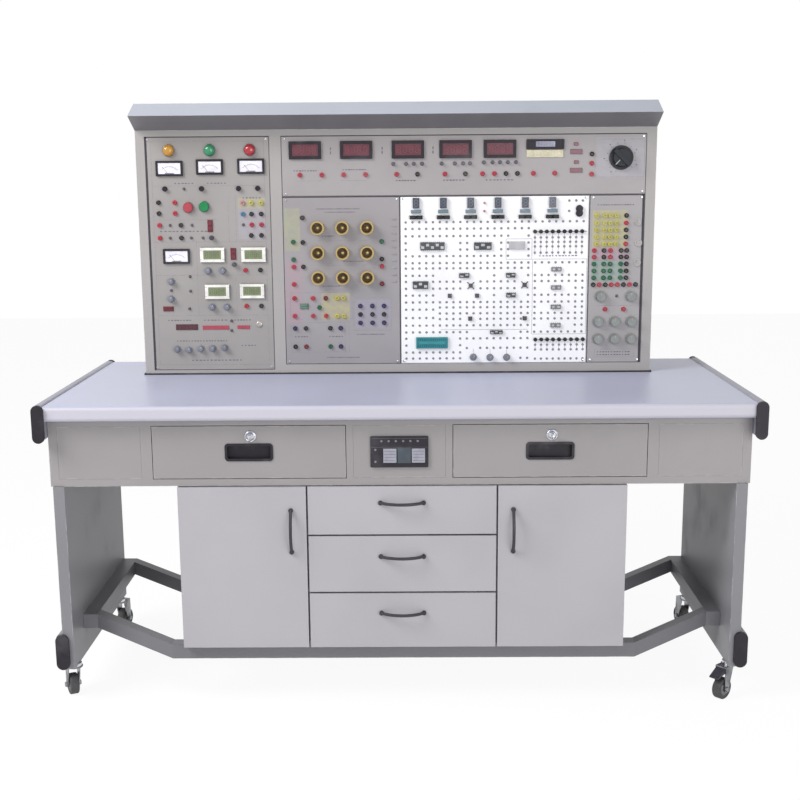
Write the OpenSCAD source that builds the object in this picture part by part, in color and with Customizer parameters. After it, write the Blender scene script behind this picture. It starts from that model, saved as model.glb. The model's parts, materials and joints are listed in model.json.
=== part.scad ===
// Mobile electronics training bench: a worktop on side legs with swivel casters,
// two desk drawers, a hanging cabinet and an upright console of instrument panels.
// X runs to the right, Y to the back and Z up. The origin lies on the floor under the middle.

/* [Bench] */
// Width over the two end rails
bench_w = 1600; // [1560:10:1760]
// Depth of the worktop from its front edge to its back edge
bench_d = 700; // [680:10:780]
// Height of the worktop's top face above the floor
worktop_h = 700; // [690:5:760]
// Thickness of the worktop
worktop_t = 33; // [25:1:40]
// Radius of the worktop's rounded front edge
nose_r = 9; // [4:0.5:12]

/* [End rails] */
// Width of an end rail
rail_w = 22; // [18:1:26]
// Height of an end rail
rail_h = 80; // [60:2:90]
// How far a rail's top stands above the worktop
rail_rise = 3; // [0:0.5:6]
// Wall of the hollow rail
rail_wall = 2; // [1.5:0.25:3]
// Width of a rail's end cap
cap_w = 26; // [22:1:30]
// Thickness of an end cap in front of its rail
cap_t = 8; // [4:0.5:10]
// How far a cap's plug reaches into its rail
plug_l = 14; // [8:1:30]

/* [Drawer case] */
// Height of the case under the worktop
case_h = 152; // [146:2:180]
// Depth of the case
case_d = 560; // [520:10:600]
// Distance of the case behind the worktop's front edge
case_setback = 33; // [20:1:40]
// Sheet thickness of the case
case_wall = 1.5; // [1:0.25:2.5]
// Height of the drawer fronts and panels in the case
front_h = 118; // [108:1:118]
// Width of a desk drawer's front
desk_front_w = 428; // [400:2:432]
// Width of the centre panel
centre_w = 204; // [190:2:206]
// Width of the web between the centre panel and a drawer
web_w = 17; // [14:1:20]
// Width of the web between a drawer and a blank panel
outer_web_w = 26; // [20:1:30]
// Width of a blank panel
blank_w = 184; // [170:2:186]
// Gap all round a drawer front
front_gap = 1.5; // [1:0.25:3]
// Depth of a desk drawer's tray
desk_tray_d = 430; // [380:10:460]

/* [Recessed pulls] */
// Width of a recessed pull
pull_w = 107; // [90:1:120]
// Height of a recessed pull
pull_h = 40; // [32:1:50]
// Depth of the recess
pull_d = 14; // [12:0.5:20]
// Wall of the pull's cup
pull_wall = 1.6; // [1.2:0.2:2.4]
// Diameter of a drawer lock's barrel
lock_d = 19; // [16:0.5:22]
// Height of the lock above the middle of the drawer front
lock_rise = 36; // [34:1:42]

/* [Legs] */
// Thickness of a leg
leg_t = 25; // [20:1:30]
// Depth of a leg
leg_d = 543; // [500:1:550]
// Distance of a leg behind the worktop's front edge
leg_setback = 29; // [20:1:40]
// Distance of a leg's outer face inside the end of the bench
leg_inset = 28; // [26:1:34]
// Height of the leg's bottom above the floor
leg_bottom = 86; // [82:1:100]
// Sheet thickness of a leg
leg_wall = 1.5; // [1:0.25:2.5]
// Height of a foot rail
foot_h = 84; // [60:2:100]
// How far a foot rail stands out from its leg
foot_out = 15; // [10:1:18]
// Width of a foot rail's end cap
foot_cap_w = 30; // [28:1:36]

/* [Casters] */
// Diameter of a caster wheel
wheel_d = 50; // [44:1:54]
// Width of a wheel
wheel_w = 20; // [16:1:24]
// Distance from the swivel axis to the axle
trail = 27; // [22:1:30]
// Diameter of an axle
axle_d = 8; // [6:0.5:10]
// Diameter of a caster's kingpin
kingpin_d = 10; // [8:0.5:12]
// Sheet thickness of a caster fork
fork_t = 2.5; // [2:0.25:3]
// Distance from the swivel axis to the tip of a brake pedal
pedal_reach = 60; // [56:1:60]
// Distance of a stem from the front or back of its leg
caster_inset = 41; // [34:1:60]

/* [Base frame] */
// Size of the square tube
tube = 34; // [28:1:38]
// Wall of the square tube
tube_wall = 2; // [1.5:0.25:3]
// Height of the side beams' top above the floor
side_beam_top = 185; // [180:1:200]
// Distance of the front cross beam from the worktop's front edge at the leg
front_beam_y = 140; // [120:5:180]
// How far the cross beams come forward on their way to the cabinet
beam_sweep = 75; // [60:5:80]
// How far the beams' slanted ends run past the side of the cabinet
beam_reach = 30; // [26:1:40]

/* [Cabinet] */
// Width of the cabinet
cabinet_w = 1000; // [960:10:1040]
// Depth of the cabinet without its doors
cabinet_d = 440; // [400:10:460]
// Distance of the doors behind the worktop's front edge
cabinet_setback = 27; // [20:1:34]
// How far the cabinet sits to the right of the bench's middle
cabinet_shift = 5; // [-10:1:10]
// Height of the cabinet's bottom above the floor
cabinet_bottom = 137; // [130:1:145]
// Thickness of the cabinet's boards
board = 16; // [12:1:20]
// Thickness of the doors and drawer fronts
front_t = 18; // [14:1:20]
// Gap between neighbouring fronts
reveal = 4; // [2:0.5:6]
// Width of the middle column of drawers
drawer_col_w = 420; // [380:10:440]
// Height of the top drawer's front
top_drawer_h = 110; // [100:1:120]
// Height of the middle drawer's front
mid_drawer_h = 130; // [110:1:140]
// Gap between a closed front and the boards behind it
front_stop = 0.6; // [0.3:0.1:0.9]

/* [Drawer parts] */
// Thickness of a cabinet tray's walls
tray_wall = 10; // [6:1:12]
// Width of the runner at each side of a tray
runner_w = 12; // [10:0.5:14]
// Height of a runner
runner_h = 22; // [16:1:28]
// Running gap between a tray and its runners
slide_gap = 0.3; // [0.3:0.1:0.6]
// Distance between a handle's feet
handle_pitch = 96; // [80:1:128]
// How far a handle stands out
handle_out = 26; // [22:1:32]
// Thickness of a handle's grip
handle_t = 7; // [6:0.5:9]

/* [Console] */
// Width of the console
console_w = 1270; // [1240:10:1300]
// Height of the console's case
console_h = 600; // [596:2:620]
// Depth of the console's case
console_d = 224; // [200:4:240]
// Distance of the console behind the worktop's front edge
console_setback = 466; // [420:2:470]
// How far the console sits to the left of the bench's middle
console_shift = 8; // [-10:1:14]
// Sheet thickness of the console
console_wall = 1.5; // [1.2:0.1:2.5]
// Thickness of the front frame
frame_t = 3; // [2:0.5:5]
// Depth of the ledge that the panels lie on
ledge_t = 4; // [3:0.5:8]
// Width of the ledge behind a panel's edge
ledge_w = 8; // [6:1:12]
// How far the hood's front ridge stands out from the case
hood_out = 75; // [60:1:90]
// Height of the hood
hood_h = 63; // [50:1:70]
// Height of the hood's ridge above its bottom
hood_ridge = 31; // [22:1:36]

/* [Panels] */
// Thickness of a panel
panel_t = 3; // [2:0.5:4]
// Gap round a panel
panel_gap = 0.5; // [0.3:0.1:1]
// Width of the frame left of the power panel
border_left = 22; // [18:1:26]
// Width of the frame's strip above the panels
border_top = 15; // [12:1:18]
// Width of the pillar right of the power panel
pillar_w = 28; // [20:1:34]
// Width of the frame right of the panels
border_right = 24; // [20:1:30]
// Width of the power panel
power_w = 305; // [300:1:310]
// Height of the power panel
power_h = 574; // [570:1:577]
// Height of the meter panel
meter_h = 146; // [144:1:150]
// Width of the circuit panel
circuit_w = 289; // [286:1:292]
// Height of the circuit, logic and terminal panels
lower_h = 415; // [412:1:418]
// Width of the logic board
logic_w = 466; // [462:1:466]

/* [Controls] */
// Outer diameter of a jack
jack_d = 11; // [8:0.5:12]
// Diameter of a jack's bore
jack_bore = 4; // [3.5:0.1:4.5]
// Height of a jack
jack_h = 5; // [3:0.5:8]
// Outer diameter of a lamp socket
socket_d = 33; // [31:0.5:36]
// Inner diameter of a lamp socket
socket_bore = 27; // [26:0.5:28]
// Height of a lamp socket
socket_h = 22; // [16:1:26]
// Distance between the lamp sockets
socket_pitch = 61; // [56:1:64]
// Diameter of a signal lamp's bezel
lamp_d = 30; // [26:1:32]
// Diameter of the selector knob
selector_d = 58; // [48:1:62]
// Diameter of a potentiometer knob
pot_d = 28; // [22:1:30]
// Diameter of a small knob
small_knob_d = 18; // [14:1:20]
// Diameter of a push-button's head
button_d = 24; // [20:1:26]
// Travel of a push-button
button_travel = 3; // [2:0.5:4]
// Diameter of a control's shaft
shaft_d = 6; // [5:0.5:7]
// Running gap round a shaft
shaft_gap = 0.1; // [0.05:0.05:0.2]

/* [Meters] */
// Width of a digital meter's bezel
led_meter_w = 79; // [72:1:82]
// Height of a digital meter's bezel
led_meter_h = 43; // [38:1:46]
// Width of an analogue meter
analog_w = 66; // [60:1:70]
// Height of an analogue meter
analog_h = 37; // [32:1:40]
// Width of a small liquid crystal meter
lcd_w = 61; // [56:1:64]
// Height of a small liquid crystal meter
lcd_h = 36; // [32:1:38]
// How far a meter's bezel stands out
bezel_t = 5; // [3:0.5:8]
// Depth of a meter's body behind the panel
meter_body = 60; // [30:5:80]

/* [Hidden] */
$fn = 48;
eps = 0.01;

// Colours as the photograph shows them
warm_grey = [0.68, 0.67, 0.65];
lilac_grey = [0.73, 0.71, 0.74];
slate = [0.40, 0.41, 0.46];
black_plastic = [0.16, 0.15, 0.17];
panel_white = [0.80, 0.80, 0.78];
chrome = [0.78, 0.78, 0.80];
brass = [0.72, 0.60, 0.35];

function from_front(setback) = -bench_d / 2 + setback;

// Where the main pieces stand
case_top = worktop_h - worktop_t;
case_bottom = case_top - case_h;
case_y = from_front(case_setback);
case_half = bench_w / 2 - rail_w - 1;
front_z = case_top - (case_h - front_h) / 2 - front_h / 2;
desk_drawer_x = centre_w / 2 + web_w + desk_front_w / 2;
blank_x = desk_drawer_x + desk_front_w / 2 + outer_web_w + blank_w / 2;
leg_x = bench_w / 2 - leg_inset;
leg_y = from_front(leg_setback);
leg_back = leg_y + leg_d;
cabinet_y = from_front(cabinet_setback);
board_y = cabinet_y + front_t + front_stop;
cabinet_top = case_bottom;
console_y = from_front(console_setback);
console_top = worktop_h + console_h;

module slab(x, y, z) {
    translate([x[0], y[0], z[0]]) cube([x[1] - x[0], y[1] - y[0], z[1] - z[0]]);
}

// Extrudes an outline drawn in X and Z from the plane y towards the front
module toward_front(y, t) {
    translate([0, y, 0]) rotate([90, 0, 0]) linear_extrude(t) children();
}

// Turns a profile drawn as radius and height round an axis that points to the front
module turned_to_front(x, y, z) {
    translate([x, y, z]) rotate([90, 0, 0]) rotate_extrude() children();
}

module rounded_rect(w, h, r) {
    square([w - 2 * r, h], center = true);
    square([w, h - 2 * r], center = true);
    for (sx = [-1, 1], sz = [-1, 1]) translate([sx * (w / 2 - r), sz * (h / 2 - r)]) circle(r);
}

// Upright outline with a half circle at each end
module capsule(w, h) {
    rounded_rect(w, h, w / 2 - eps);
}

module worktop() {
    half = bench_w / 2 - rail_w;
    color(lilac_grey)
        translate([-half, -bench_d / 2, worktop_h - worktop_t]) rotate([90, 0, 90])
            linear_extrude(2 * half) {
                translate([nose_r, 0]) square([bench_d - nose_r, worktop_t]);
                translate([0, nose_r]) square([nose_r, worktop_t - 2 * nose_r]);
                for (z = [nose_r, worktop_t - nose_r]) translate([nose_r, z]) circle(nose_r);
            }
}

rail_z = worktop_h + rail_rise - rail_h / 2;

module end_rails() {
    color(slate)
        for (side = [-1, 1]) translate([side * (bench_w / 2 - rail_w / 2), 0, rail_z])
            toward_front(bench_d / 2, bench_d) difference() {
                rounded_rect(rail_w, rail_h, rail_w / 3);
                rounded_rect(rail_w - 2 * rail_wall, rail_h - 2 * rail_wall, rail_w / 3 - rail_wall);
            }
}

module end_rail_caps() {
    plug_w = rail_w - 2 * rail_wall - 2 * slide_gap;
    plug_h = rail_h - 2 * rail_wall - 2 * slide_gap;
    color(black_plastic)
        for (side = [-1, 1], end = [0, 1]) mirror([0, end, 0])
            translate([side * (bench_w / 2 - cap_w / 2), 0, rail_z]) {
                toward_front(-bench_d / 2, cap_t) capsule(cap_w, rail_h + 4);
                translate([side * (cap_w - rail_w) / 2, 0, 0])
                    toward_front(-bench_d / 2 + plug_l, plug_l + eps)
                        rounded_rect(plug_w, plug_h, rail_w / 3 - rail_wall - slide_gap);
            }
}

// Centres of the five openings in the drawer case, the widths of their fronts, and the gap round each
case_openings = [
    [-blank_x, blank_w, slide_gap], [-desk_drawer_x, desk_front_w, front_gap], [0, centre_w, slide_gap],
    [desk_drawer_x, desk_front_w, front_gap], [blank_x, blank_w, slide_gap]
];

module drawer_case() {
    inner = case_half - case_wall;
    back = case_y + case_d;
    bay = desk_front_w / 2 + front_gap + case_wall / 2;
    color(warm_grey) {
        difference() {
            slab([-case_half, case_half], [case_y, back], [case_bottom, case_top]);
            slab([-inner, inner], [case_y + case_wall, back - case_wall],
                 [case_bottom + case_wall, case_top + eps]);
            for (o = case_openings) translate([o[0], 0, front_z])
                toward_front(case_y + case_wall + eps, case_wall + 2 * eps)
                    square([o[1] + 2 * o[2], front_h + 2 * o[2]], center = true);
        }
        for (side = [-1, 1], edge = [-1, 1]) translate([side * desk_drawer_x + edge * bay, 0, 0])
            slab([-case_wall / 2, case_wall / 2], [case_y + case_wall, back - case_wall],
                 [case_bottom + case_wall, case_top]);
    }
}

module folded_panel(w) {
    toward_front(case_y + 12, 12) difference() {
        square([w, front_h], center = true);
        square([w - 2 * case_wall, front_h - 2 * case_wall], center = true);
    }
    toward_front(case_y + case_wall, case_wall) square([w, front_h], center = true);
}

keypad_w = 128;
keypad_h = 70;

module case_panels() {
    color(warm_grey)
        for (o = [[-blank_x, blank_w], [blank_x, blank_w]])
            translate([o[0], 0, front_z]) folded_panel(o[1]);
    color(warm_grey) difference() {
        translate([0, 0, front_z]) folded_panel(centre_w);
        translate([0, 0, front_z]) toward_front(case_y + 20, 40)
            square([keypad_w - 8, keypad_h - 8], center = true);
    }
}

module keypad_module() {
    key = [14, 15];
    color(black_plastic) translate([0, 0, front_z]) {
        toward_front(case_y, bezel_t) rounded_rect(keypad_w, keypad_h, 3);
        toward_front(case_y + 30, 30 + eps)
            square([keypad_w - 8 - 2 * slide_gap, keypad_h - 8 - 2 * slide_gap], center = true);
        for (x = [-21, 42]) translate([x, 0, -8])
            toward_front(case_y - bezel_t, 2) rounded_rect(key[0] * 2.1, key[1] * 2.2, 2);
    }
}

module leg(side) {
    color(slate) {
        difference() {
            slab([0, leg_t], [leg_y, leg_back], [leg_bottom, case_bottom]);
            slab([leg_wall, leg_t - leg_wall], [leg_y + leg_wall, leg_back - leg_wall],
                 [leg_bottom + leg_wall, case_bottom + eps]);
            for (y = caster_rows) translate([leg_t / 2, y, leg_bottom - eps])
                cylinder(d = kingpin_d + 2 * shaft_gap, h = leg_wall + 2 * eps);
        }
    }
}

caster_rows = [leg_y + caster_inset, leg_back - caster_inset];
caster_x = leg_x - leg_t / 2;

module leg_left() { translate([-leg_x, 0, 0]) leg(); }
module leg_right() { mirror([1, 0, 0]) leg_left(); }

foot_z = leg_bottom + foot_h / 2;

module foot_rails() {
    color(slate)
        for (side = [0, 1]) mirror([side, 0, 0])
            translate([0, 0, foot_z]) toward_front(leg_back, leg_d) intersection() {
                translate([-leg_x, 0]) rounded_rect(2 * foot_out, foot_h, foot_out * 0.8);
                translate([-leg_x - foot_out, -foot_h / 2]) square([foot_out, foot_h]);
            }
}

module foot_rail_caps() {
    color(black_plastic)
        for (side = [0, 1], end = [0, 1]) mirror([side, 0, 0])
            translate([-leg_x - foot_out + foot_cap_w / 2, end * (leg_d + cap_t), foot_z])
                toward_front(leg_y, cap_t) capsule(foot_cap_w, foot_h);
}

// Corners of a cross beam from the left leg to the right one, as x, y and z of the tube's middle;
// its two ends run on by the given length into the side beams
side_beam_x = leg_x - leg_t - tube / 2;
beam_end_x = side_beam_x - tube / 2;
beam_drop_x = cabinet_w / 2 + beam_reach;
beam_drop_z = cabinet_bottom - tube / 2;
function beam_path(y, run) = [
    [-beam_end_x - run, y, side_beam_top - tube / 2],
    [-beam_drop_x + cabinet_shift, y - beam_sweep, beam_drop_z],
    [beam_drop_x + cabinet_shift, y - beam_sweep, beam_drop_z],
    [beam_end_x + run, y, side_beam_top - tube / 2]
];
beam_rows = [from_front(front_beam_y), leg_back - tube / 2];

// Straight tube between two middles whose ends lie in planes of constant x
module slanted_tube(a, b, size) {
    hull() for (p = [a, b]) translate(p) cube([eps, size, size], center = true);
}

module cross_beams(size, run) {
    for (y = beam_rows, i = [0:2]) let (path = beam_path(y, run))
        slanted_tube(path[i], path[i + 1], size);
}

module side_beams(size, run) {
    for (side = [-1, 1]) translate([side * side_beam_x, 0, side_beam_top - tube / 2])
        slab([-size / 2, size / 2],
             [beam_rows[0] - tube / 2 - run, beam_rows[1] + tube / 2 + run], [-size / 2, size / 2]);
}

module base_frame() {
    bore = tube - 2 * tube_wall;
    color(slate) difference() {
        union() {
            cross_beams(tube, eps);
            side_beams(tube, 0);
        }
        cross_beams(bore, 2 * tube_wall);
        side_beams(bore, eps);
    }
}

// The cabinet's columns, from its left side to its right
cabinet_left = cabinet_shift - cabinet_w / 2;
divider_x = [cabinet_shift - drawer_col_w / 2 - reveal / 2, cabinet_shift + drawer_col_w / 2 + reveal / 2];
fronts_h = cabinet_top - cabinet_bottom - reveal / 2;
back_board = 4;

module cabinet() {
    right = cabinet_left + cabinet_w;
    back = board_y + cabinet_d;
    color(lilac_grey) difference() {
        slab([cabinet_left, right], [board_y, back], [cabinet_bottom, cabinet_top]);
        for (bay = [[cabinet_left + board, divider_x[0] - board / 2],
                    [divider_x[0] + board / 2, divider_x[1] - board / 2],
                    [divider_x[1] + board / 2, right - board]])
            slab(bay, [board_y - eps, back - back_board],
                 [cabinet_bottom + board, cabinet_top - board]);
    }
}

// Heights of the three cabinet drawer fronts, from the top down
bottom_drawer_h = fronts_h - top_drawer_h - mid_drawer_h - 2 * reveal;
drawer_tops = [
    cabinet_top - reveal / 2,
    cabinet_top - reveal / 2 - top_drawer_h - reveal,
    cabinet_top - reveal / 2 - top_drawer_h - mid_drawer_h - 2 * reveal
];
drawer_heights = [top_drawer_h, mid_drawer_h, bottom_drawer_h];
tray_half = divider_x[1] - cabinet_shift - board / 2 - runner_w - slide_gap;
cabinet_tray_d = cabinet_d - 30;
tray_foot = 22;
tray_drop = 24;

// Open box with a floor; x, y and z are its outer limits
module tray(x, y, z, wall) {
    difference() {
        slab(x, y, z);
        slab([x[0] + wall, x[1] - wall], [y[0] + wall, y[1] - wall], [z[0] + wall, z[1] + eps]);
    }
}

module bow_handle() {
    rise = handle_out - handle_t;
    bend = (pow(handle_pitch / 2, 2) + pow(rise, 2)) / (2 * rise);
    half = asin(handle_pitch / 2 / bend);
    translate([0, bend - rise - handle_t / 2, 0]) rotate([0, 0, -90 - half])
        rotate_extrude(angle = 2 * half, $fn = 96) translate([bend, 0]) {
            square([handle_t, handle_t * 0.6], center = true);
            circle(d = handle_t);
        }
    for (x = [-1, 1]) translate([x * handle_pitch / 2, 0, 0]) rotate([90, 0, 0])
        cylinder(d = handle_t * 1.5, h = handle_t / 2 + 2);
}

module cabinet_drawer(i) {
    z0 = drawer_tops[i] - drawer_heights[i];
    floor_z = (i == 2) ? max(z0 + tray_foot, cabinet_bottom + board + 4) : z0 + tray_foot;
    roof_z = (i == 0) ? min(drawer_tops[i] - tray_drop, cabinet_top - board - 4) : drawer_tops[i] - tray_drop;
    translate([cabinet_shift, 0, 0]) {
        color(lilac_grey) {
            slab([-drawer_col_w / 2, drawer_col_w / 2], [cabinet_y, cabinet_y + front_t], [z0, drawer_tops[i]]);
            tray([-tray_half, tray_half], [cabinet_y + front_t - eps, board_y + cabinet_tray_d],
                 [floor_z, roof_z], tray_wall);
        }
        color(black_plastic) translate([0, cabinet_y, (z0 + drawer_tops[i]) / 2 + front_t]) bow_handle();
    }
}

module cabinet_drawer_top() { cabinet_drawer(0); }
module cabinet_drawer_middle() { cabinet_drawer(1); }
module cabinet_drawer_bottom() { cabinet_drawer(2); }

module cabinet_runners() {
    color(chrome)
        for (i = [0:2], side = [-1, 1]) {
            z = drawer_tops[i] - drawer_heights[i] / 2;
            outer = side * (tray_half + slide_gap + runner_w / 2);
            translate([cabinet_shift + outer, board_y + cabinet_tray_d / 2, z])
                cube([runner_w, cabinet_tray_d, runner_h], center = true);
        }
}

door_w = divider_x[0] - reveal / 2 - cabinet_left;

module door(side) {
    color(lilac_grey) slab([0, door_w], [cabinet_y, cabinet_y + front_t],
                           [cabinet_bottom, cabinet_bottom + fronts_h]);
    color(black_plastic)
        translate([door_w - 34, cabinet_y, cabinet_bottom + fronts_h * 0.73])
            rotate([0, 90, 0]) bow_handle();
}

module door_left() { translate([cabinet_left, 0, 0]) door(); }
module door_right() { translate([cabinet_left + cabinet_w, 0, 0]) mirror([1, 0, 0]) door(); }

// Desk drawers: a folded steel front, a tray, a recessed pull and a lock
desk_tray_half = desk_front_w / 2 + front_gap - runner_w - slide_gap;
desk_fold = 12;
lock_x = 4;

module desk_drawer(side) {
    back_wall = desk_fold + case_wall;
    tray_z = [front_z - front_h / 2 + case_wall, front_z + front_h / 2 - lock_d / 2];
    color(warm_grey) translate([side * desk_drawer_x, 0, 0]) difference() {
        union() {
            translate([0, 0, front_z]) toward_front(case_y + desk_fold, desk_fold) difference() {
                square([desk_front_w, front_h], center = true);
                square([desk_front_w - 2 * case_wall, front_h - 2 * case_wall], center = true);
            }
            translate([0, 0, front_z]) toward_front(case_y + case_wall, case_wall)
                square([desk_front_w, front_h], center = true);
            translate([0, 0, front_z]) toward_front(case_y + back_wall, case_wall)
                square([desk_front_w, front_h], center = true);
            tray([-desk_tray_half, desk_tray_half],
                 [case_y + desk_fold, case_y + desk_tray_d], tray_z, case_wall);
        }
        translate([0, 0, front_z]) toward_front(case_y + back_wall + eps, back_wall + 2 * eps)
            rounded_rect(pull_w - 8, pull_h - 8, 5);
        translate([lock_x, case_y + back_wall + eps, front_z + lock_rise]) rotate([90, 0, 0])
            cylinder(d = lock_d - 4 + 2 * shaft_gap, h = back_wall + 2 * eps);
    }
}

module desk_drawer_left() { desk_drawer(-1); }
module desk_drawer_right() { desk_drawer(1); }

module recessed_pull(side) {
    color(black_plastic) translate([side * desk_drawer_x, 0, front_z]) difference() {
        union() {
            toward_front(case_y, 2) rounded_rect(pull_w, pull_h, 8);
            toward_front(case_y + pull_d, pull_d + eps)
                rounded_rect(pull_w - 8 - 2 * slide_gap, pull_h - 8 - 2 * slide_gap, 5 - slide_gap);
        }
        toward_front(case_y + pull_d - pull_wall, pull_d + 2)
            rounded_rect(pull_w - 8 - 2 * pull_wall, pull_h - 8 - 2 * pull_wall, 5 - pull_wall);
    }
}

module pull_left() { recessed_pull(-1); }
module pull_right() { recessed_pull(1); }

// Lock barrel with a domed rosette and a key standing in it
module drawer_lock(side) {
    color(chrome) translate([side * desk_drawer_x + lock_x, case_y, front_z + lock_rise]) {
        translate([0, -slide_gap, 0]) rotate([90, 0, 0]) {
            cylinder(d = lock_d, h = 2);
            translate([0, 0, 2]) cylinder(d1 = lock_d, d2 = lock_d - 6, h = 3);
        }
        translate([0, desk_fold + case_wall + 4, 0]) rotate([90, 0, 0])
            cylinder(d = lock_d - 4, h = desk_fold + case_wall + 4 + 1);
        rotate([90, 0, 0]) linear_extrude(12) square([2.4, 6], center = true);
        translate([1.2, -12, 0]) rotate([0, -90, 0]) linear_extrude(2.4) translate([0, -7]) circle(8);
    }
}

module lock_left() { drawer_lock(-1); }
module lock_right() { drawer_lock(1); }

module desk_runners() {
    color(chrome)
        for (side = [-1, 1], edge = [-1, 1])
            translate([side * desk_drawer_x + edge * (desk_tray_half + slide_gap + runner_w / 2),
                       case_y + case_wall + desk_fold + desk_tray_d / 2, front_z])
                cube([runner_w, desk_tray_d - 2 * desk_fold, runner_h], center = true);
}

// Console: a sheet-steel case, a front frame with ledges, and a hood
console_left = -console_w / 2;
power_x = [console_left + border_left, console_left + border_left + power_w];
right_x = [power_x[1] + pillar_w, console_w / 2 - border_right];
panel_top = console_top - border_top;
power_z = [panel_top - power_h, panel_top];
meter_z = [panel_top - meter_h, panel_top];
lower_z = [meter_z[0] - lower_h, meter_z[0]];
circuit_x = [right_x[0], right_x[0] + circuit_w];
logic_x = [circuit_x[1], circuit_x[1] + logic_w];
terminal_x = [logic_x[1], right_x[1]];
panel_front = console_y + frame_t - panel_t;

module console_case() {
    half = console_w / 2;
    back = console_y + console_d;
    inner = half - console_wall;
    front = console_y + frame_t + ledge_t;
    color(warm_grey) translate([-console_shift, 0, 0]) difference() {
        slab([-half, half], [front, back], [worktop_h, console_top]);
        slab([-inner, inner], [front - eps, back - console_wall],
             [worktop_h + console_wall, console_top - console_wall]);
    }
}

module console_frame() {
    color(warm_grey) translate([-console_shift, 0, 0]) difference() {
        slab([console_left, -console_left], [console_y, console_y + frame_t + ledge_t],
             [worktop_h, console_top]);
        for (o = [[power_x, power_z], [right_x, [lower_z[0], panel_top]]])
            slab(o[0], [console_y - eps, console_y + frame_t], o[1]);
        for (o = [[power_x, power_z], [right_x, meter_z], [circuit_x, lower_z],
                  [logic_x, lower_z], [terminal_x, lower_z]])
            slab([o[0][0] + ledge_w, o[0][1] - ledge_w],
                 [console_y, console_y + frame_t + ledge_t + eps],
                 [o[1][0] + ledge_w, o[1][1] - ledge_w]);
    }
}

// The hood's outline, drawn in Y and Z, drawn in by the given wall
module hood_outline(wall) {
    slope = atan(hood_out / hood_ridge);
    tip = wall / cos(slope);
    polygon([[wall, wall], [-hood_out + tip, hood_ridge], [wall, hood_h - wall],
             [console_d - wall, hood_h - wall], [console_d - wall, wall]]);
}

module console_hood() {
    flange = 12;
    color(lilac_grey)
        translate([-console_w / 2 - console_shift, console_y, console_top]) rotate([90, 0, 90])
            difference() {
                linear_extrude(console_w) hood_outline(0);
                translate([0, 0, console_wall]) linear_extrude(console_w - 2 * console_wall) {
                    hood_outline(console_wall);
                    translate([flange, -eps]) square([console_d - 2 * flange, 2 * console_wall]);
                }
            }
}

// A panel with the holes of its own moving controls; shafts lists [x, z, diameter]
module panel(x, z, shafts = []) {
    color(panel_white) translate([-console_shift, 0, 0]) difference() {
        slab([x[0] + panel_gap, x[1] - panel_gap], [panel_front, panel_front + panel_t],
             [z[0] + panel_gap, z[1] - panel_gap]);
        for (s = shafts) translate([s[0], panel_front + panel_t + eps, s[1]]) rotate([90, 0, 0])
            cylinder(d = s[2] + 2 * shaft_gap, h = panel_t + 2 * eps);
    }
}

// Places of the moving controls on the console, as x from its middle and z
button_places = [[power_x[0] + 102, panel_top - 170], [power_x[0] + 141, panel_top - 168]];
button_shaft_d = 16;
selector_place = [right_x[1] - 62, panel_top - 58];
pot_rows = [
    [lower_z[0] + 166, [32, 107]], [lower_z[0] + 103, [28, 69, 110]], [lower_z[0] + 60, [28, 69, 110]]
];
pot_places = [for (row = pot_rows, x = row[1]) [terminal_x[0] + x, row[0]]];

module power_panel() {
    panel(power_x, power_z, [for (p = button_places) [p[0], p[1], button_shaft_d]]);
}
module meter_panel() {
    panel(right_x, meter_z, [[selector_place[0], selector_place[1], shaft_d]]);
}
module circuit_panel() { panel(circuit_x, lower_z); }
module logic_board() { panel(logic_x, lower_z); }
module terminal_panel() { panel(terminal_x, lower_z, [for (p = pot_places) [p[0], p[1], shaft_d]]); }

// Bezel with a sunk window on the panel's front
module framed_meter(x, z, w, h, rim, sink) {
    translate([x - console_shift, 0, z]) difference() {
        toward_front(panel_front, bezel_t) rounded_rect(w, h, 2);
        toward_front(panel_front - bezel_t + sink, sink + eps) square([w - 2 * rim, h - 2 * rim], center = true);
    }
}

led_meter_x = [59, 184, 310, 426, 534];
led_meter_drop = 35;
timer_x = 644;

module digital_meters() {
    color(black_plastic) {
        for (x = led_meter_x)
            framed_meter(right_x[0] + x, panel_top - led_meter_drop, led_meter_w, led_meter_h, 7, 2);
        framed_meter(right_x[0] + timer_x, panel_top - 25, 92, 24, 4, 2);
    }
    color(panel_white)
        for (p = [[157, 286], [259, 286], [166, 377], [253, 376]])
            framed_meter(power_x[0] + p[0], panel_top - p[1], lcd_w, lcd_h, 5, 2);
}

module analog_meters() {
    color(black_plastic)
        for (p = [[59, 76], [158, 73], [259, 72], [68, 289]])
            framed_meter(power_x[0] + p[0], panel_top - p[1], analog_w, analog_h, 5, 2);
}

module signal_lamps() {
    color(chrome)
        for (x = [59, 159, 257])
            turned_to_front(power_x[0] + x - console_shift, panel_front, panel_top - 33) difference() {
                union() {
                    square([lamp_d / 2, 4]);
                    square([lamp_d / 2 - 3, 9]);
                    intersection() {
                        translate([0, 9 - 14]) circle(20);
                        square([lamp_d / 2 - 3, 20]);
                    }
                }
                translate([-50, -50]) square([50, 100]);
            }
}

module lamp_sockets() {
    color(brass)
        for (i = [0:2], j = [0:2])
            turned_to_front(circuit_x[0] + 86 + i * socket_pitch - console_shift, panel_front,
                            lower_z[1] - 76 - j * socket_pitch) difference() {
                square([socket_d / 2, socket_h]);
                translate([0, 3]) square([socket_bore / 2, socket_h]);
                for (ring = [0:3]) translate([socket_d / 2, 5 + ring * 4]) circle(0.9);
            }
}

module jack() {
    turned_to_front(0, 0, 0) difference() {
        union() {
            square([jack_d / 2, jack_h - 1]);
            square([jack_d / 2 - 1, jack_h]);
        }
        translate([0, 1]) square([jack_bore / 2, jack_h]);
    }
}

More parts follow.
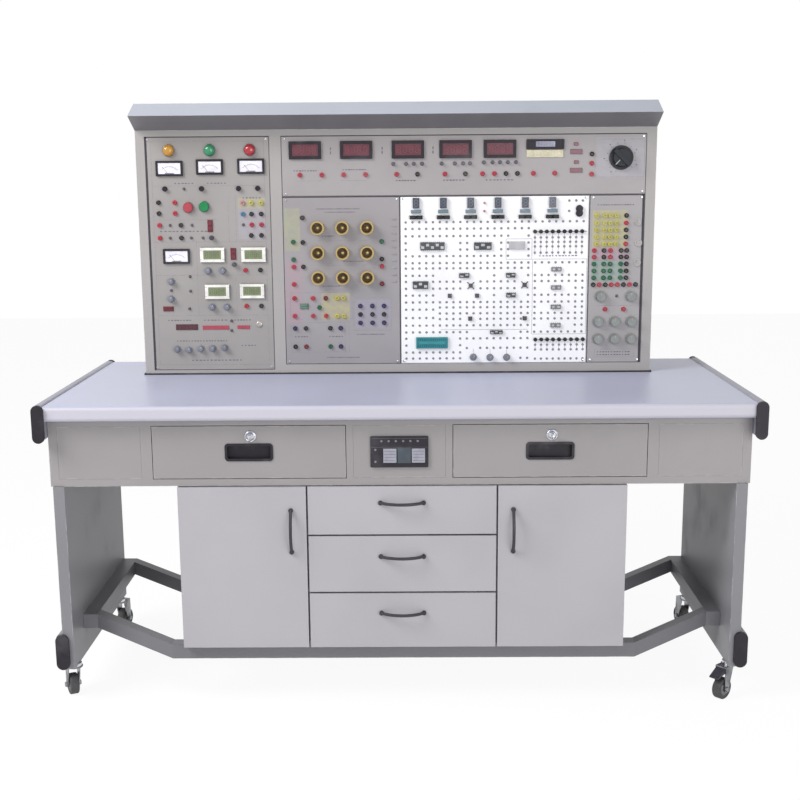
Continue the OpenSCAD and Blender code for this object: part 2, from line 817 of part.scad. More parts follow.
// Jack places: [x from the panel's left, depth from the panel's top]
power_jacks = concat(
    [for (x = [29, 69], z = [158, 184]) [x, z]],
    [for (x = [29, 82], z = [213, 244]) [x, z]],
    [for (x = [236, 257, 281], z = [160, 187, 213]) [x, z]],
    [for (x = [255, 280]) [x, 239]],
    [for (x = [238, 275], z = [324, 413]) [x, z]]
);
meter_jacks = [for (x = [45, 99, 152, 206, 282, 333, 400, 450, 492, 521, 549, 577, 616, 668]) [x, 94]];
timer_jacks = [for (z = [49, 71, 97]) [758, z]];
circuit_jacks = concat(
    [for (x = [49], z = [51, 111, 171]) [x, z]],
    [for (x = [25, 244], z = [110, 153, 171, 214]) [x, z]],
    [for (x = [25, 71, 103, 131, 147], z = [249, 293]) [x, z]],
    [for (x = [189, 219, 248], z = [269, 290, 311]) [x, z]],
    [for (x = [25, 52, 113, 139], z = [324, 370]) [x, z]],
    [[87, 272]]
);
terminal_jacks = concat(
    [for (x = [19, 38, 52, 67, 91], z = [51, 69, 86, 103, 120]) [x, z]],
    [for (x = [14, 38, 54, 80, 94], z = [136, 152, 169, 186, 203]) [x, z]],
    [for (i = [0:7]) [13 + i * 15, 220]],
    [[44, 281], [90, 281]]
);

module jack_group(places, x, top) {
    for (p = places) translate([x + p[0] - console_shift, panel_front, top - p[1]]) jack();
}

module jacks() {
    color(black_plastic) {
        jack_group(power_jacks, power_x[0], panel_top);
        jack_group(meter_jacks, right_x[0], panel_top);
        jack_group(timer_jacks, right_x[0], panel_top);
        jack_group(circuit_jacks, circuit_x[0], lower_z[1]);
        jack_group(terminal_jacks, terminal_x[0], lower_z[1]);
    }
}

// Small block on a panel: x and z of its middle, its size and height
module chip(x, z, w, h, t) {
    translate([x - console_shift, 0, z]) toward_front(panel_front, t) square([w, h], center = true);
}

module board_parts() {
    top = lower_z[1];
    left = logic_x[0];
    color(black_plastic) {
        for (i = [0:5]) {
            x = left + 42 + i * 67;
            chip(x, top - 17, 17, 25, 8);
            chip(x, top - 40, 25, 8, 6);
            chip(x, top - 53, 31, 8, 9);
        }
        for (c = [[81, 124, 60, 24], [205, 124, 43, 24], [289, 124, 39, 22], [160, 196, 25, 13],
                  [276, 196, 23, 13], [276, 246, 23, 13], [52, 220, 38, 22], [241, 338, 31, 11],
                  [79, 363, 79, 27], [442, 39, 18, 26]])
            chip(left + c[0], top - c[1], c[2], c[3], 7);
        for (z = [182, 227, 275, 321]) chip(left + 388, top - z, 25, 13, 7);
        for (i = [0:8], z = [89, 355]) chip(left + 335 + i * 14.6, top - z, 11, 22, 6);
    }
}

module fixed_knob(x, z, d, h) {
    turned_to_front(x - console_shift, panel_front, z) {
        square([d / 2, h * 0.4]);
        polygon([[0, 0], [d / 2 - 1, 0], [d / 2 - 1, h * 0.4], [d / 2 - 2.5, h], [0, h]]);
    }
}

module rocker(x, z, w, h) {
    translate([x - console_shift, 0, z]) {
        toward_front(panel_front, 2) rounded_rect(w, h, 1.5);
        translate([0, panel_front, 0]) rotate([0, 90, 0]) translate([0, 0, -w / 2 + 1.5])
            linear_extrude(w - 3) polygon([[-h / 2 + 2, 0], [h / 2 - 2, 0], [h / 2 - 2, -5], [-h / 2 + 2, -2.5]]);
    }
}

module fixed_controls() {
    left = power_x[0];
    color(slate) {
        for (p = [[60, 460], [89, 462], [119, 459], [149, 459], [179, 457],
                  [145, 325], [181, 325], [152, 415], [189, 415], [52, 351], [50, 394]])
            fixed_knob(left + p[0], panel_top - p[1], small_knob_d, 14);
        for (x = [179, 219, 260]) fixed_knob(logic_x[0] + x, lower_z[0] + 17, small_knob_d, 14);
        for (p = [[157, 244], [211, 310]]) fixed_knob(left + p[0], panel_top - p[1], 14, 12);
    }
    color(black_plastic) {
        for (p = [[154, 215, 13, 30], [209, 284, 14, 29]])
            rocker(left + p[0], panel_top - p[1], p[2], p[3]);
        for (x = [46, 93, 136, 227, 274]) fixed_knob(left + x, panel_top - 125, 12, 9);
        for (x = [272, 303, 322, 342, 390, 422, 442, 459, 493, 514, 532, 551, 571])
            fixed_knob(right_x[0] + x, panel_top - 70, 10, 7);
        rocker(circuit_x[0] + 49, lower_z[1] - 269, 24, 15);
        for (x = [147], z = [14, 60]) fixed_knob(right_x[0] + 571 + x, panel_top - z - 10, 12, 8);
    }
}

// Moving controls; each hides its shaft behind the panel and turns or slides in the panel's hole
module control_shaft(d, back) {
    rotate([-90, 0, 0]) cylinder(d = d, h = panel_t + back);
}

module selector_knob() {
    color(black_plastic)
        translate([selector_place[0] - console_shift, panel_front - slide_gap, selector_place[1]]) {
            rotate([90, 0, 0]) cylinder(d = selector_d, h = 6);
            rotate([90, 0, 0]) cylinder(d1 = selector_d * 0.8, d2 = selector_d * 0.7, h = 20);
            rotate([0, 135, 0]) rotate([90, 0, 0]) linear_extrude(24)
                rounded_rect(10, selector_d * 0.86, 3);
            translate([0, -eps, 0]) control_shaft(shaft_d, 12);
        }
}

module push_button(i) {
    translate([button_places[i][0] - console_shift, panel_front, button_places[i][1]]) {
        rotate([90, 0, 0]) translate([0, 0, button_travel + slide_gap]) {
            cylinder(d = button_d, h = 4);
            cylinder(d = button_d - 3, h = 5.5);
        }
        translate([0, -button_travel - slide_gap - eps, 0]) rotate([-90, 0, 0])
            cylinder(d = button_shaft_d, h = button_travel + panel_t + 12);
    }
}

module stop_button() { color([0.7, 0.15, 0.15]) push_button(0); }
module start_button() { color([0.1, 0.5, 0.3]) push_button(1); }

module pot_knob(i) {
    color(slate)
        translate([pot_places[i][0] - console_shift, panel_front - slide_gap, pot_places[i][1]]) {
            rotate([90, 0, 0]) difference() {
                union() {
                    cylinder(d = pot_d, h = 4);
                    cylinder(d = pot_d * 0.76, h = 15);
                }
                for (k = [0:9]) rotate([0, 0, 15 + k * 36]) translate([pot_d * 0.41, 0, 4.5])
                    cylinder(d = 3, h = 12, $fn = 24);
            }
            translate([0, -eps, 0]) control_shaft(shaft_d, 12);
        }
}

module pot_knob_1() { pot_knob(0); }
module pot_knob_2() { pot_knob(1); }
module pot_knob_3() { pot_knob(2); }
module pot_knob_4() { pot_knob(3); }
module pot_knob_5() { pot_knob(4); }
module pot_knob_6() { pot_knob(5); }
module pot_knob_7() { pot_knob(6); }
module pot_knob_8() { pot_knob(7); }

// Casters: a kingpin and head under the leg, a swivelling fork with its axle, and a wheel
head_d = 34;
head_h = 7;
fork_top = leg_bottom - head_h - slide_gap;
fork_gap = wheel_w / 2 + 2;
// Direction in which each caster trails, anticlockwise from +X
caster_turns = [118, 222, 70, 110];
caster_places = [
    [-caster_x, caster_rows[0]], [caster_x, caster_rows[0]],
    [-caster_x, caster_rows[1]], [caster_x, caster_rows[1]]
];

module caster_mounts() {
    color(chrome) for (p = caster_places) translate([p[0], p[1], 0]) {
        translate([0, 0, leg_bottom - head_h]) cylinder(d = head_d, h = head_h);
        translate([0, 0, fork_top - fork_t - 4]) cylinder(d = kingpin_d, h = 40);
        translate([0, 0, fork_top - fork_t - slide_gap - 4]) cylinder(d = kingpin_d + 7, h = 4);
    }
}

module caster_frame(i) {
    translate([caster_places[i][0], caster_places[i][1], 0]) rotate([0, 0, caster_turns[i]]) children();
}

module fork(i, braked) {
    color(chrome) caster_frame(i) {
        difference() {
            union() {
                translate([0, 0, fork_top - fork_t]) cylinder(d = head_d + 4, h = fork_t);
                translate([0, -fork_gap - fork_t, fork_top - fork_t])
                    cube([trail + 6, 2 * (fork_gap + fork_t), fork_t]);
            }
            translate([0, 0, fork_top - fork_t - eps])
                cylinder(d = kingpin_d + 2 * shaft_gap, h = fork_t + 2 * eps);
        }
        for (side = [-1, 1]) translate([0, side * (fork_gap + fork_t / 2) + fork_t / 2, 0])
            rotate([90, 0, 0]) linear_extrude(fork_t) {
                polygon([[4, fork_top - fork_t / 2], [trail + 6, fork_top - fork_t / 2],
                         [trail + 8, wheel_d / 2], [trail - 8, wheel_d / 2]]);
                translate([trail, wheel_d / 2]) circle(8);
            }
        translate([trail, fork_gap + fork_t + 2, wheel_d / 2]) rotate([90, 0, 0])
            cylinder(d = axle_d, h = 2 * (fork_gap + fork_t + 2));
        if (braked) pedal();
    }
}

// Brake pedal: a tongue over the wheel with turned-down sides
module pedal() {
    base = wheel_d + 5;
    translate([trail + 6 - eps, 0, 0]) rotate([90, 0, 0])
        translate([0, 0, -fork_gap]) linear_extrude(2 * fork_gap)
            polygon([[-4, fork_top - fork_t], [0, fork_top - fork_t], [pedal_reach - trail - 6, base + 4],
                     [pedal_reach - trail - 6, base + 1], [-4, base + 10]]);
}

module fork_front_left() { fork(0, true); }
module fork_front_right() { fork(1, true); }
module fork_rear_left() { fork(2, false); }
module fork_rear_right() { fork(3, false); }

module wheel(i) {
    r = wheel_d / 2;
    color([0.35, 0.35, 0.38]) caster_frame(i) translate([trail, 0, r]) rotate([90, 0, 0])
        rotate_extrude($fn = 96) difference() {
            union() {
                translate([0, -wheel_w / 2]) square([r - 3, wheel_w]);
                translate([0, -wheel_w / 2 + 3]) square([r, wheel_w - 6]);
                for (s = [-1, 1]) translate([r - 3, s * (wheel_w / 2 - 3)]) circle(3);
            }
            for (s = [-1, 1]) translate([r * 0.55, s * wheel_w / 2]) rotate([0, 0, 45])
                square(4, center = true);
            translate([-r, -wheel_w]) square([r + axle_d / 2 + shaft_gap / 2, 2 * wheel_w]);
        }
}

module wheel_front_left() { wheel(0); }
module wheel_front_right() { wheel(1); }
module wheel_rear_left() { wheel(2); }
module wheel_rear_right() { wheel(3); }

worktop();
end_rails();
end_rail_caps();
drawer_case();
case_panels();
keypad_module();
leg_left();
leg_right();
foot_rails();
foot_rail_caps();
base_frame();
cabinet();
desk_runners();
cabinet_runners();
console_case();
console_frame();
console_hood();
power_panel();
meter_panel();
circuit_panel();
logic_board();
terminal_panel();
digital_meters();
analog_meters();
signal_lamps();
lamp_sockets();
jacks();
board_parts();
fixed_controls();
desk_drawer_left();
desk_drawer_right();
pull_left();
pull_right();
lock_left();
lock_right();
cabinet_drawer_top();
cabinet_drawer_middle();
cabinet_drawer_bottom();
door_left();
door_right();
selector_knob();
start_button();
stop_button();
pot_knob_1();
pot_knob_2();
pot_knob_3();
pot_knob_4();
pot_knob_5();
pot_knob_6();
pot_knob_7();
pot_knob_8();
caster_mounts();
fork_front_left();
fork_front_right();
fork_rear_left();
fork_rear_right();
wheel_front_left();
wheel_front_right();
wheel_rear_left();
wheel_rear_right();
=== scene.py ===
# %% [markdown]
# # A mobile electronics training bench
# The real thing is a steel bench on casters. It carries a laminated worktop, a hanging cabinet and an upright
# console full of meters, jacks and knobs. The shapes that matter for its size and motion come from CAD, and
# this lesson dresses them: every CAD node gets the finish of the real part, and the small fittings of the
# console are built here as meshes. The frame could be rebuilt by hand in Blender, but then nothing would
# guarantee that a drawer still fits its opening, so the packed CAD model is loaded and left where it is.

# %% Load the frame
import json
import math

import bpy
import numpy as np
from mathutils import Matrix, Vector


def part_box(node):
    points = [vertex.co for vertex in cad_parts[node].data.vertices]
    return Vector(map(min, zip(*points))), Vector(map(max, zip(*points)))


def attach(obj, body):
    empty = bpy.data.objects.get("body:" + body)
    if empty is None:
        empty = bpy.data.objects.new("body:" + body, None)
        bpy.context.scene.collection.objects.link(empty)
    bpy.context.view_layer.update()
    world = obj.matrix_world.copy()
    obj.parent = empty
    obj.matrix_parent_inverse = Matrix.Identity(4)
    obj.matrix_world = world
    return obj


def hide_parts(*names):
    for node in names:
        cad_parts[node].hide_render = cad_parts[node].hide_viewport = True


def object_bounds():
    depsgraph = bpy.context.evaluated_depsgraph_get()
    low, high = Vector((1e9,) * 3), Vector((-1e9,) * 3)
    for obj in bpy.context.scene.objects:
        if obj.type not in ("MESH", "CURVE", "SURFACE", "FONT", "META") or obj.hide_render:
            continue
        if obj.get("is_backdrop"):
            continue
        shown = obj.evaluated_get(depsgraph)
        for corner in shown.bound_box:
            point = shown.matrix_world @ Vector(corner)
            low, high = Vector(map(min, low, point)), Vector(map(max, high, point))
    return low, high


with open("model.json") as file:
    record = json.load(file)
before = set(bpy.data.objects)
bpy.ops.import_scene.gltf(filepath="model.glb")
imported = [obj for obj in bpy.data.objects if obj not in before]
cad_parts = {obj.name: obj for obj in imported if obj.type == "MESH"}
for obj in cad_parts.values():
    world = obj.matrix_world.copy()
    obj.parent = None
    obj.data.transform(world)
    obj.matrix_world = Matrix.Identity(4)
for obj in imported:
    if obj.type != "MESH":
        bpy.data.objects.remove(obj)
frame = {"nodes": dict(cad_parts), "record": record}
nodes = frame["nodes"]
cad_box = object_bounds()
MM = 0.001
print("loaded", len(nodes), "nodes; the bench is", [round(x, 3) for x in cad_box[1] - cad_box[0]], "m")

# %% [markdown]
# ## Sums on surfaces
# A finish is a little program: it turns a place on the part into a colour, a gloss and a relief. Blender
# writes such programs as nodes. Wiring them by hand hides the sum, so one small class wraps an output of a
# node, and ordinary arithmetic on it adds the Math nodes. Everything else comes from its node method.

# %% A value that flows through the nodes
class Value:
    """A number, colour or vector in a node tree. Arithmetic on it adds Math nodes."""

    def __init__(self, tree, socket=None):
        self.tree = tree
        self.socket = socket

    def node(self, kind, inputs, out=0, **settings):
        """Adds one node with its settings, then sets or links its sockets. Gives output number out."""
        made = self.tree.nodes.new("ShaderNode" + kind)
        for name, setting in settings.items():
            setattr(made, name, setting)
        for key, value in inputs.items():
            if isinstance(value, Value):
                self.tree.links.new(value.socket, made.inputs[key])
            else:
                made.inputs[key].default_value = value
        return Value(self.tree, made.outputs[out])

    def sum_of(self, operation, first, second=0.0):
        return self.node("Math", {0: first, 1: second}, operation=operation)

    def __add__(self, other):
        return self.sum_of("ADD", self, other)

    def __sub__(self, other):
        return self.sum_of("SUBTRACT", self, other)

    def __rsub__(self, other):
        return self.sum_of("SUBTRACT", other, self)

    def __mul__(self, other):
        return self.sum_of("MULTIPLY", self, other)

    __radd__ = __add__
    __rmul__ = __mul__

    def least(self, other):
        return self.sum_of("MINIMUM", self, other)

    def most(self, other):
        return self.sum_of("MAXIMUM", self, other)

    def size(self):
        return self.sum_of("ABSOLUTE", self)

    def root(self):
        return self.sum_of("SQRT", self.most(0.0))

    def step(self, low, high):
        """0 below low and 1 above high, with an S curve between them; low above high turns it round."""
        return self.node("MapRange", {0: self, 1: low, 2: high}, interpolation_type="SMOOTHSTEP")

    def between(self, low, high, soft):
        """1 between low and high, fading to 0 over the length soft outside them."""
        return self.step(low - soft, low) * self.step(high + soft, high)

    def blend(self, first, second):
        """The first colour where self is 0 and the second where it is 1."""
        return self.node("Mix", {0: self, 6: first, 7: second}, out=2, data_type="RGBA")

    def parts(self):
        """The three numbers of a vector."""
        split = self.node("SeparateXYZ", {0: self}).socket.node
        return [Value(self.tree, socket) for socket in split.outputs]

    def noise(self, scale, detail=2.0):
        """Cloudy noise from 0 to 1 with about scale blobs in a metre."""
        return self.node("TexNoise", {"Vector": self, "Scale": scale, "Detail": detail})

    def cells(self, scale):
        """Distance to the nearest of about scale random points in a metre."""
        return self.node("TexVoronoi", {"Vector": self, "Scale": scale})

    def relief(self, depth, strength=1.0):
        """A normal that makes height self look depth metres deep."""
        return self.node("Bump", {"Height": self, "Strength": strength, "Distance": depth})


def along(place, point, direction):
    """Length of (place - point) along a unit direction: the dot product."""
    arm = place.node("VectorMath", {0: place, 1: point}, operation="SUBTRACT")
    return arm.node("VectorMath", {0: arm, 1: direction}, out=1, operation="DOT_PRODUCT")


def off_axis(place, point, direction):
    """Distance from the line through point: Pythagoras on the whole length and the part along the line."""
    arm = place.node("VectorMath", {0: place, 1: point}, operation="SUBTRACT")
    whole = arm.node("VectorMath", {0: arm}, out=1, operation="LENGTH")
    run = along(place, point, direction)
    return (whole * whole - run * run).root()


print("node arithmetic ready:", len([k for k in vars(Value) if not k.startswith("__init")]), "operations")

# %% [markdown]
# ## From a recipe to a material
# A recipe gets the place on the part in metres (Object coordinates, which stay with the part when it moves)
# and returns the sockets that vary. Sockets that are the same all over are set as plain numbers. Colours are
# given as the eye sees them on a screen and turned into light.

# %% Colours and materials
def colour(code):
    """Screen colour to light: v / 12.92 for dark values, ((v + 0.055) / 1.055) ** 2.4 for the rest."""
    seen = np.array([int(code[i:i + 2], 16) for i in (0, 2, 4)]) / 255
    light = np.where(seen <= 0.04045, seen / 12.92, ((seen + 0.055) / 1.055) ** 2.4)
    return (*light.tolist(), 1.0)


def dimmer(tint, share):
    """The same colour with only that share of its light."""
    return tuple(share * c for c in tint[:3]) + (1.0,)


def paler(tint, share):
    """The same colour with that share of the way to white added."""
    return tuple(c + (1 - c) * share for c in tint[:3]) + (1.0,)


def finish(name, recipe, **plain):
    """A material: plain values on the shader's own sockets, and links where the recipe varies."""
    made = bpy.data.materials.new(name)
    made.use_nodes = True
    tree = made.node_tree
    shader = tree.nodes["Principled BSDF"]
    for socket, value in plain.items():
        shader.inputs[socket.replace("_", " ")].default_value = value
    place = Value(tree).node("TexCoord", {}, out=3)
    for socket, value in recipe(place).items():
        tree.links.new(value.socket, shader.inputs[socket])
    return made


def edges(place, box, width):
    """1 along the edges of a box, 0 on its faces. Of a point's distances to the three pairs of faces
    the smallest is near 0 on any face, but the middle one is near 0 only along an edge."""
    x, y, z = [(high - low) / 2 - (p - (low + high) / 2).size() for p, low, high in zip(place.parts(), *box)]
    middle = x.least(y).most(x.most(y).least(z))
    return middle.step(width, 0.0)


print("a middle grey screen value of 80 is", round(colour("808080")[0], 3), "in light")

# %% [markdown]
# ## Sprayed steel
# The case, the legs and the console are folded sheet steel with a stoved enamel. Sprayed enamel dries with a
# fine orange peel, its colour drifts slightly over a wide panel, and it rubs pale on the folds. The peel is a
# relief of a tenth of a millimetre, far too small to be mesh, so it lives in the normal.

# %% Enamel
def enamel_recipe(place, tint, box, patches):
    cloud = place.noise(2.5, 3.0)
    speck = place.noise(700.0, 1.0)
    worn = edges(place, box, 0.0022) * place.noise(38.0, 4.0).step(0.44, 0.66)
    dirt = place.noise(9.0, 5.0).step(0.52, 0.8)
    paint = cloud.step(0.25, 0.75).blend(dimmer(tint, 0.94), dimmer(tint, 1.05))
    paint = (speck.step(0.6, 0.8) * 0.35).blend(paint, dimmer(tint, 0.86))
    paint = (dirt * 0.14).blend(paint, dimmer(tint, 0.72))
    paint = (worn * 0.4).blend(paint, colour("D9D6D2"))
    gloss = 0.36 + cloud * 0.14 + dirt * 0.12
    for mask, code in patches(place):
        shade = colour(code)
        paint = mask.blend(paint, cloud.blend(dimmer(shade, 0.9), dimmer(shade, 1.08)))
    peel = place.noise(260.0, 1.5).relief(0.0004, 0.35)
    return {"Base Color": paint, "Roughness": gloss, "Normal": peel}


def no_patches(place):
    return []


def enamel(name, code, box, patches=no_patches):
    tint = colour(code)
    return finish(name, lambda place: enamel_recipe(place, tint, box, patches), Specular_IOR_Level=0.42)


def dress(node, material):
    """Gives a CAD node its finish: the material goes into the slots that the node already has."""
    shown = nodes[node]
    if not shown.material_slots:
        shown.data.materials.append(material)
    for held in shown.material_slots:
        held.material = material


ENAMELS_WITH_PAINTED_SHADE = {
    # 9B9798 is painted shade: the case and its drawers get a darker grey than the console for the worktop's
    #                          shadow.
    "9B9798": ["drawer_case", "case_panels", "desk_drawer_left", "desk_drawer_right"],
    "A9A5A4": ["console_case", "console_frame"],
    # 838388 is painted shade: the legs and foot rails are the console's grey, darkened for the shade under
    #                          the bench.
    "838388": ["leg_left", "leg_right", "foot_rails"],
    # 76767B is painted shade: the base frame is darkened further for the shade under the bench.
    "76767B": ["base_frame"],
    "9A9AA6": ["end_rails"],
}
for code, parts in ENAMELS_WITH_PAINTED_SHADE.items():
    for part in parts:
        dress(part, enamel("enamel_" + part, code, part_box(part)))
print("enamelled", sum("enamel" in m.name for m in bpy.data.materials), "parts")

# %% [markdown]
# ## The hood
# The hood's upper face catches the light and looks pale blue. Its soffit looks down and lies in shade, and
# that shade is painted in as a dark grey. Both belong to one folded part, so one material holds both colours:
# the soffit is the part of the hood below the ridge and in front of the console.

# %% Hood
hood_low, hood_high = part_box("console_hood")
console_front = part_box("console_frame")[0].y
RIDGE_RISE = 0.031


def soffit(place):
    """1 below the ridge and in front of the console, but not on the two end plates."""
    x, y, z = place.parts()
    below = z.step(hood_low.z + RIDGE_RISE + 0.0004, hood_low.z + RIDGE_RISE - 0.0004)
    ahead = y.step(console_front + 0.0006, console_front - 0.0002)
    inside = x.between(hood_low.x + 0.0004, hood_high.x - 0.0004, 0.0002)
    # The soffit's dark grey 7B797C is painted shade on the face that looks down under the ridge.
    return [(below * ahead * inside, "7B797C")]


dress("console_hood", enamel("hood_enamel", "B3B8C4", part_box("console_hood"), soffit))
print("hood", round((hood_high.x - hood_low.x) / MM), "mm wide")

# %% [markdown]
# ## Laminate
# The worktop and the cabinet are chipboard under a printed melamine paper. The print is a fine grey fleck,
# the paper has a soft sheen and a shallow pebble. The worktop's rounded front catches the light, and that
# highlight is painted on as a greyer, paler tint. Cabinet parts carry a thin edging strip, which is where
# they get knocked.

# %% Laminate
def laminate_recipe(place, tint, box, patches):
    cloud = place.noise(4.0, 2.0)
    fleck = place.cells(420.0).step(0.22, 0.05)
    fibre = place.noise(1100.0, 2.0)
    knocks = edges(place, box, 0.0016) * place.noise(24.0, 4.0).step(0.46, 0.62)
    paper = cloud.step(0.3, 0.7).blend(dimmer(tint, 0.965), dimmer(tint, 1.03))
    paper = (fleck * 0.28).blend(paper, dimmer(tint, 0.7))
    paper = (fibre.step(0.55, 0.8) * 0.2).blend(paper, dimmer(tint, 1.14))
    paper = (knocks * 0.5).blend(paper, dimmer(tint, 0.62))
    gloss = 0.3 + cloud * 0.1 + fleck * 0.05
    for mask, code in patches(place):
        paper = mask.blend(paper, colour(code))
        gloss = gloss + mask * 0.06
    pebble = (fibre + place.noise(300.0, 1.0)).relief(0.00025, 0.25)
    return {"Base Color": paper, "Roughness": gloss, "Normal": pebble}


def laminate(name, code, box, patches=no_patches):
    tint = colour(code)
    return finish(name, lambda place: laminate_recipe(place, tint, box, patches), Specular_IOR_Level=0.45)


worktop_low, worktop_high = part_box("worktop")


def worktop_nose_highlight(place):
    """1 on the rounded front edge, the first 3 to 4 mm behind the front, where a highlight is painted."""
    y = place.parts()[1]
    # C2C0CB is a painted highlight: the rounded front catching the light.
    return [(y.step(worktop_low.y + 0.0042, worktop_low.y + 0.0028), "C2C0CB")]


FRONT_THICKNESS = 0.018
front_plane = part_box("door_left")[1].y - FRONT_THICKNESS


def handles(place):
    """1 in front of the doors' and drawers' face: only the bow handles are there."""
    y = place.parts()[1]
    return [(y.step(front_plane - 0.0001, front_plane - 0.0003), "37323A")]


dress("worktop", laminate("worktop_laminate", "BBBED4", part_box("worktop"), worktop_nose_highlight))
dress("cabinet", laminate("cabinet_laminate", "A8A5AA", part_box("cabinet")))
FRONTS = ["door_left", "door_right"] + ["cabinet_drawer_" + row for row in ("top", "middle", "bottom")]
for part in FRONTS:
    low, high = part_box(part)
    dress(part, laminate("laminate_" + part, "AFACB2", ((low.x, front_plane, low.z), high), handles))
print("laminate on", sum("laminate" in m.name for m in bpy.data.materials), "parts")

# %% [markdown]
# ## Plastics and metals
# Moulded plastic carries the fine grain of its mould and gets shinier where hands rub it. Plated and turned
# metal shows streaks in its gloss. Both recipes take one colour, so the same two functions serve caps, pulls,
# knobs, jacks, screws and brass. The colour of a metal is its reflection, so only small changes are mixed in.

# %% Moulded plastic, plated metal, printing ink
def plastic(name, code, rough=0.42, coat=0.0, glow=0.0):
    tint = colour(code)

    def recipe(place):
        cloud = place.noise(60.0, 3.0)
        grain = place.noise(1900.0, 2.0)
        rubbed = place.noise(14.0, 4.0).step(0.5, 0.72)
        paint = cloud.step(0.3, 0.7).blend(dimmer(tint, 0.88), dimmer(tint, 1.08))
        paint = (rubbed * 0.3).blend(paint, paler(tint, 0.12))
        return {
            "Base Color": paint,
            "Roughness": rough + cloud * 0.12 - rubbed * 0.06,
            "Normal": grain.relief(0.00012, 0.3),
        }

    return finish(name, recipe, Coat_Weight=coat, Emission_Color=tint, Emission_Strength=glow,
                  Specular_IOR_Level=0.32)


def metal(name, code, rough=0.25, scratch=0.1, share=1.0):
    tint = colour(code)

    def recipe(place):
        cloud = place.noise(90.0, 3.0)
        streak = place.noise(1400.0, 3.0)
        dull = place.noise(30.0, 5.0).step(0.45, 0.75)
        return {
            "Base Color": dull.blend(tint, dimmer(tint, 0.78)),
            "Roughness": rough + cloud * 0.1 + dull * 0.12,
            "Normal": streak.relief(0.00008, scratch),
        }

    return finish(name, recipe, Metallic=share)


def ink(name, code):
    tint = colour(code)
    return finish(name, lambda place: {
        "Base Color": place.noise(220.0, 3.0).step(0.35, 0.75).blend(dimmer(tint, 0.82), dimmer(tint, 1.2)),
        "Roughness": 0.55 + place.noise(500.0) * 0.2,
        "Normal": place.noise(900.0).relief(0.00005, 0.2),
    })


black = plastic("black_moulding", "242028")
chrome = metal("bright_chrome", "D2D3D8", 0.16)
zinc = metal("zinc_plate", "909194", 0.4, 0.2)
brass = metal("turned_brass", "B8A26C", 0.36, 0.2, 0.55)
for part in ["end_rail_caps", "foot_rail_caps", "keypad_module", "pull_left", "pull_right", "digital_meters"]:
    dress(part, black)
for part in ["lock_left", "lock_right", "caster_mounts"]:
    dress(part, chrome)
for part in ["desk_runners", "cabinet_runners"]:
    dress(part, zinc)
dress("lamp_sockets", brass)
dress("selector_knob", plastic("selector_plastic", "20242B", 0.45))
dress("stop_button", plastic("stop_plastic", "A6404C", 0.4, 0.2))
dress("start_button", plastic("start_plastic", "158049", 0.4, 0.2))
for i in range(1, 9):
    dress(f"pot_knob_{i}", plastic(f"pot_plastic_{i}", "8E918F", 0.45))
print("plastics and metals:", len(bpy.data.materials), "materials so far")

# %% [markdown]
# ## Wheels and forks
# A caster wheel is a rubber tyre on a plastic hub, one CAD solid. The tyre is what lies far from the axle, so
# the distance from the axle's line picks the colour. The brake pedal is the part of a front fork that lies
# furthest from the kingpin. The left pedal is plated and the right one has a black cover.

# %% Casters
CASTER_TURNS = {"front_left": 118, "front_right": 222, "rear_left": 70, "rear_right": 110}
TRAIL = 27 * MM
HUB = 16 * MM


def tyre_recipe(place, centre, axle):
    out = off_axis(place, centre, axle)
    tread = out.step(HUB - 0.0006, HUB + 0.0006)
    grime = place.noise(45.0, 5.0)
    paint = tread.blend(colour("7C7C7E"), colour("4C4B4D"))
    paint = (grime.step(0.42, 0.7) * 0.5).blend(paint, colour("3B3936"))
    return {
        "Base Color": paint,
        "Roughness": 0.45 + tread * 0.25 + grime * 0.1,
        "Normal": place.noise(600.0).relief(0.0003, 0.4),
    }


def fork_recipe(place, point, away, pedal):
    is_pedal = along(place, point, away).step(0.0335, 0.0345)
    dull = place.noise(40.0, 4.0).step(0.4, 0.75)
    paint = dull.blend(colour("95969A"), colour("6C6C6E"))
    return {
        "Base Color": is_pedal.blend(paint, colour(pedal)),
        "Metallic": 1 - is_pedal * (1.0 if pedal == "33303A" else 0.0),
        "Roughness": 0.3 + dull * 0.2 + is_pedal * 0.1,
        "Normal": place.noise(1200.0).relief(0.0001, 0.25),
    }


def caster_centre(corner):
    """The wheel's centre: the middle of its box, because the wheel is round."""
    low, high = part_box("wheel_" + corner)
    return np.array((low + high) / 2)


for corner, turn in CASTER_TURNS.items():
    away = np.array([math.cos(math.radians(turn)), math.sin(math.radians(turn)), 0.0])
    axle = (-away[1], away[0], 0.0)
    hub = caster_centre(corner)
    pin = tuple(hub - away * TRAIL)
    pedal = "33303A" if corner == "front_right" else "8E8F8C"
    dress("wheel_" + corner, finish("tyre_" + corner, lambda p, c=tuple(hub), a=axle: tyre_recipe(p, c, a)))
    dress("fork_" + corner, finish("fork_" + corner,
                                   lambda p, c=pin, a=tuple(away), k=pedal: fork_recipe(p, c, a, k)))
print("casters at", [tuple(np.round(caster_centre(c), 3)) for c in CASTER_TURNS][:2])

# %% [markdown]
# ## Surfaces from arrays
# Almost every fitting on the console is round or rectangular and points at the student. So two shapes do
# nearly all the work. The first carries a profile round an axis (a lathe), the second is a plate with a
# chamfer. Both are rings of points, skinned with quads, and numpy makes every copy at once. Places are
# millimetres to the right of a panel's left edge and down from its top, as one would measure on the panel.

# %% Shapes
def loft(rings):
    """Skin over m rings of k points: quad (i, j) joins rings i and i + 1 between points j and j + 1.
    One face closes the first ring and one the last."""
    m, k = rings.shape[:2]
    i, j = np.meshgrid(np.arange(m - 1), np.arange(k), indexing="ij")
    after = (j + 1) % k
    quads = np.stack([i * k + j, i * k + after, (i + 1) * k + after, (i + 1) * k + j], -1).reshape(-1, 4)
    caps = np.stack([np.arange(k)[::-1], (m - 1) * k + np.arange(k)])
    return rings.reshape(-1, 3), [quads, caps]


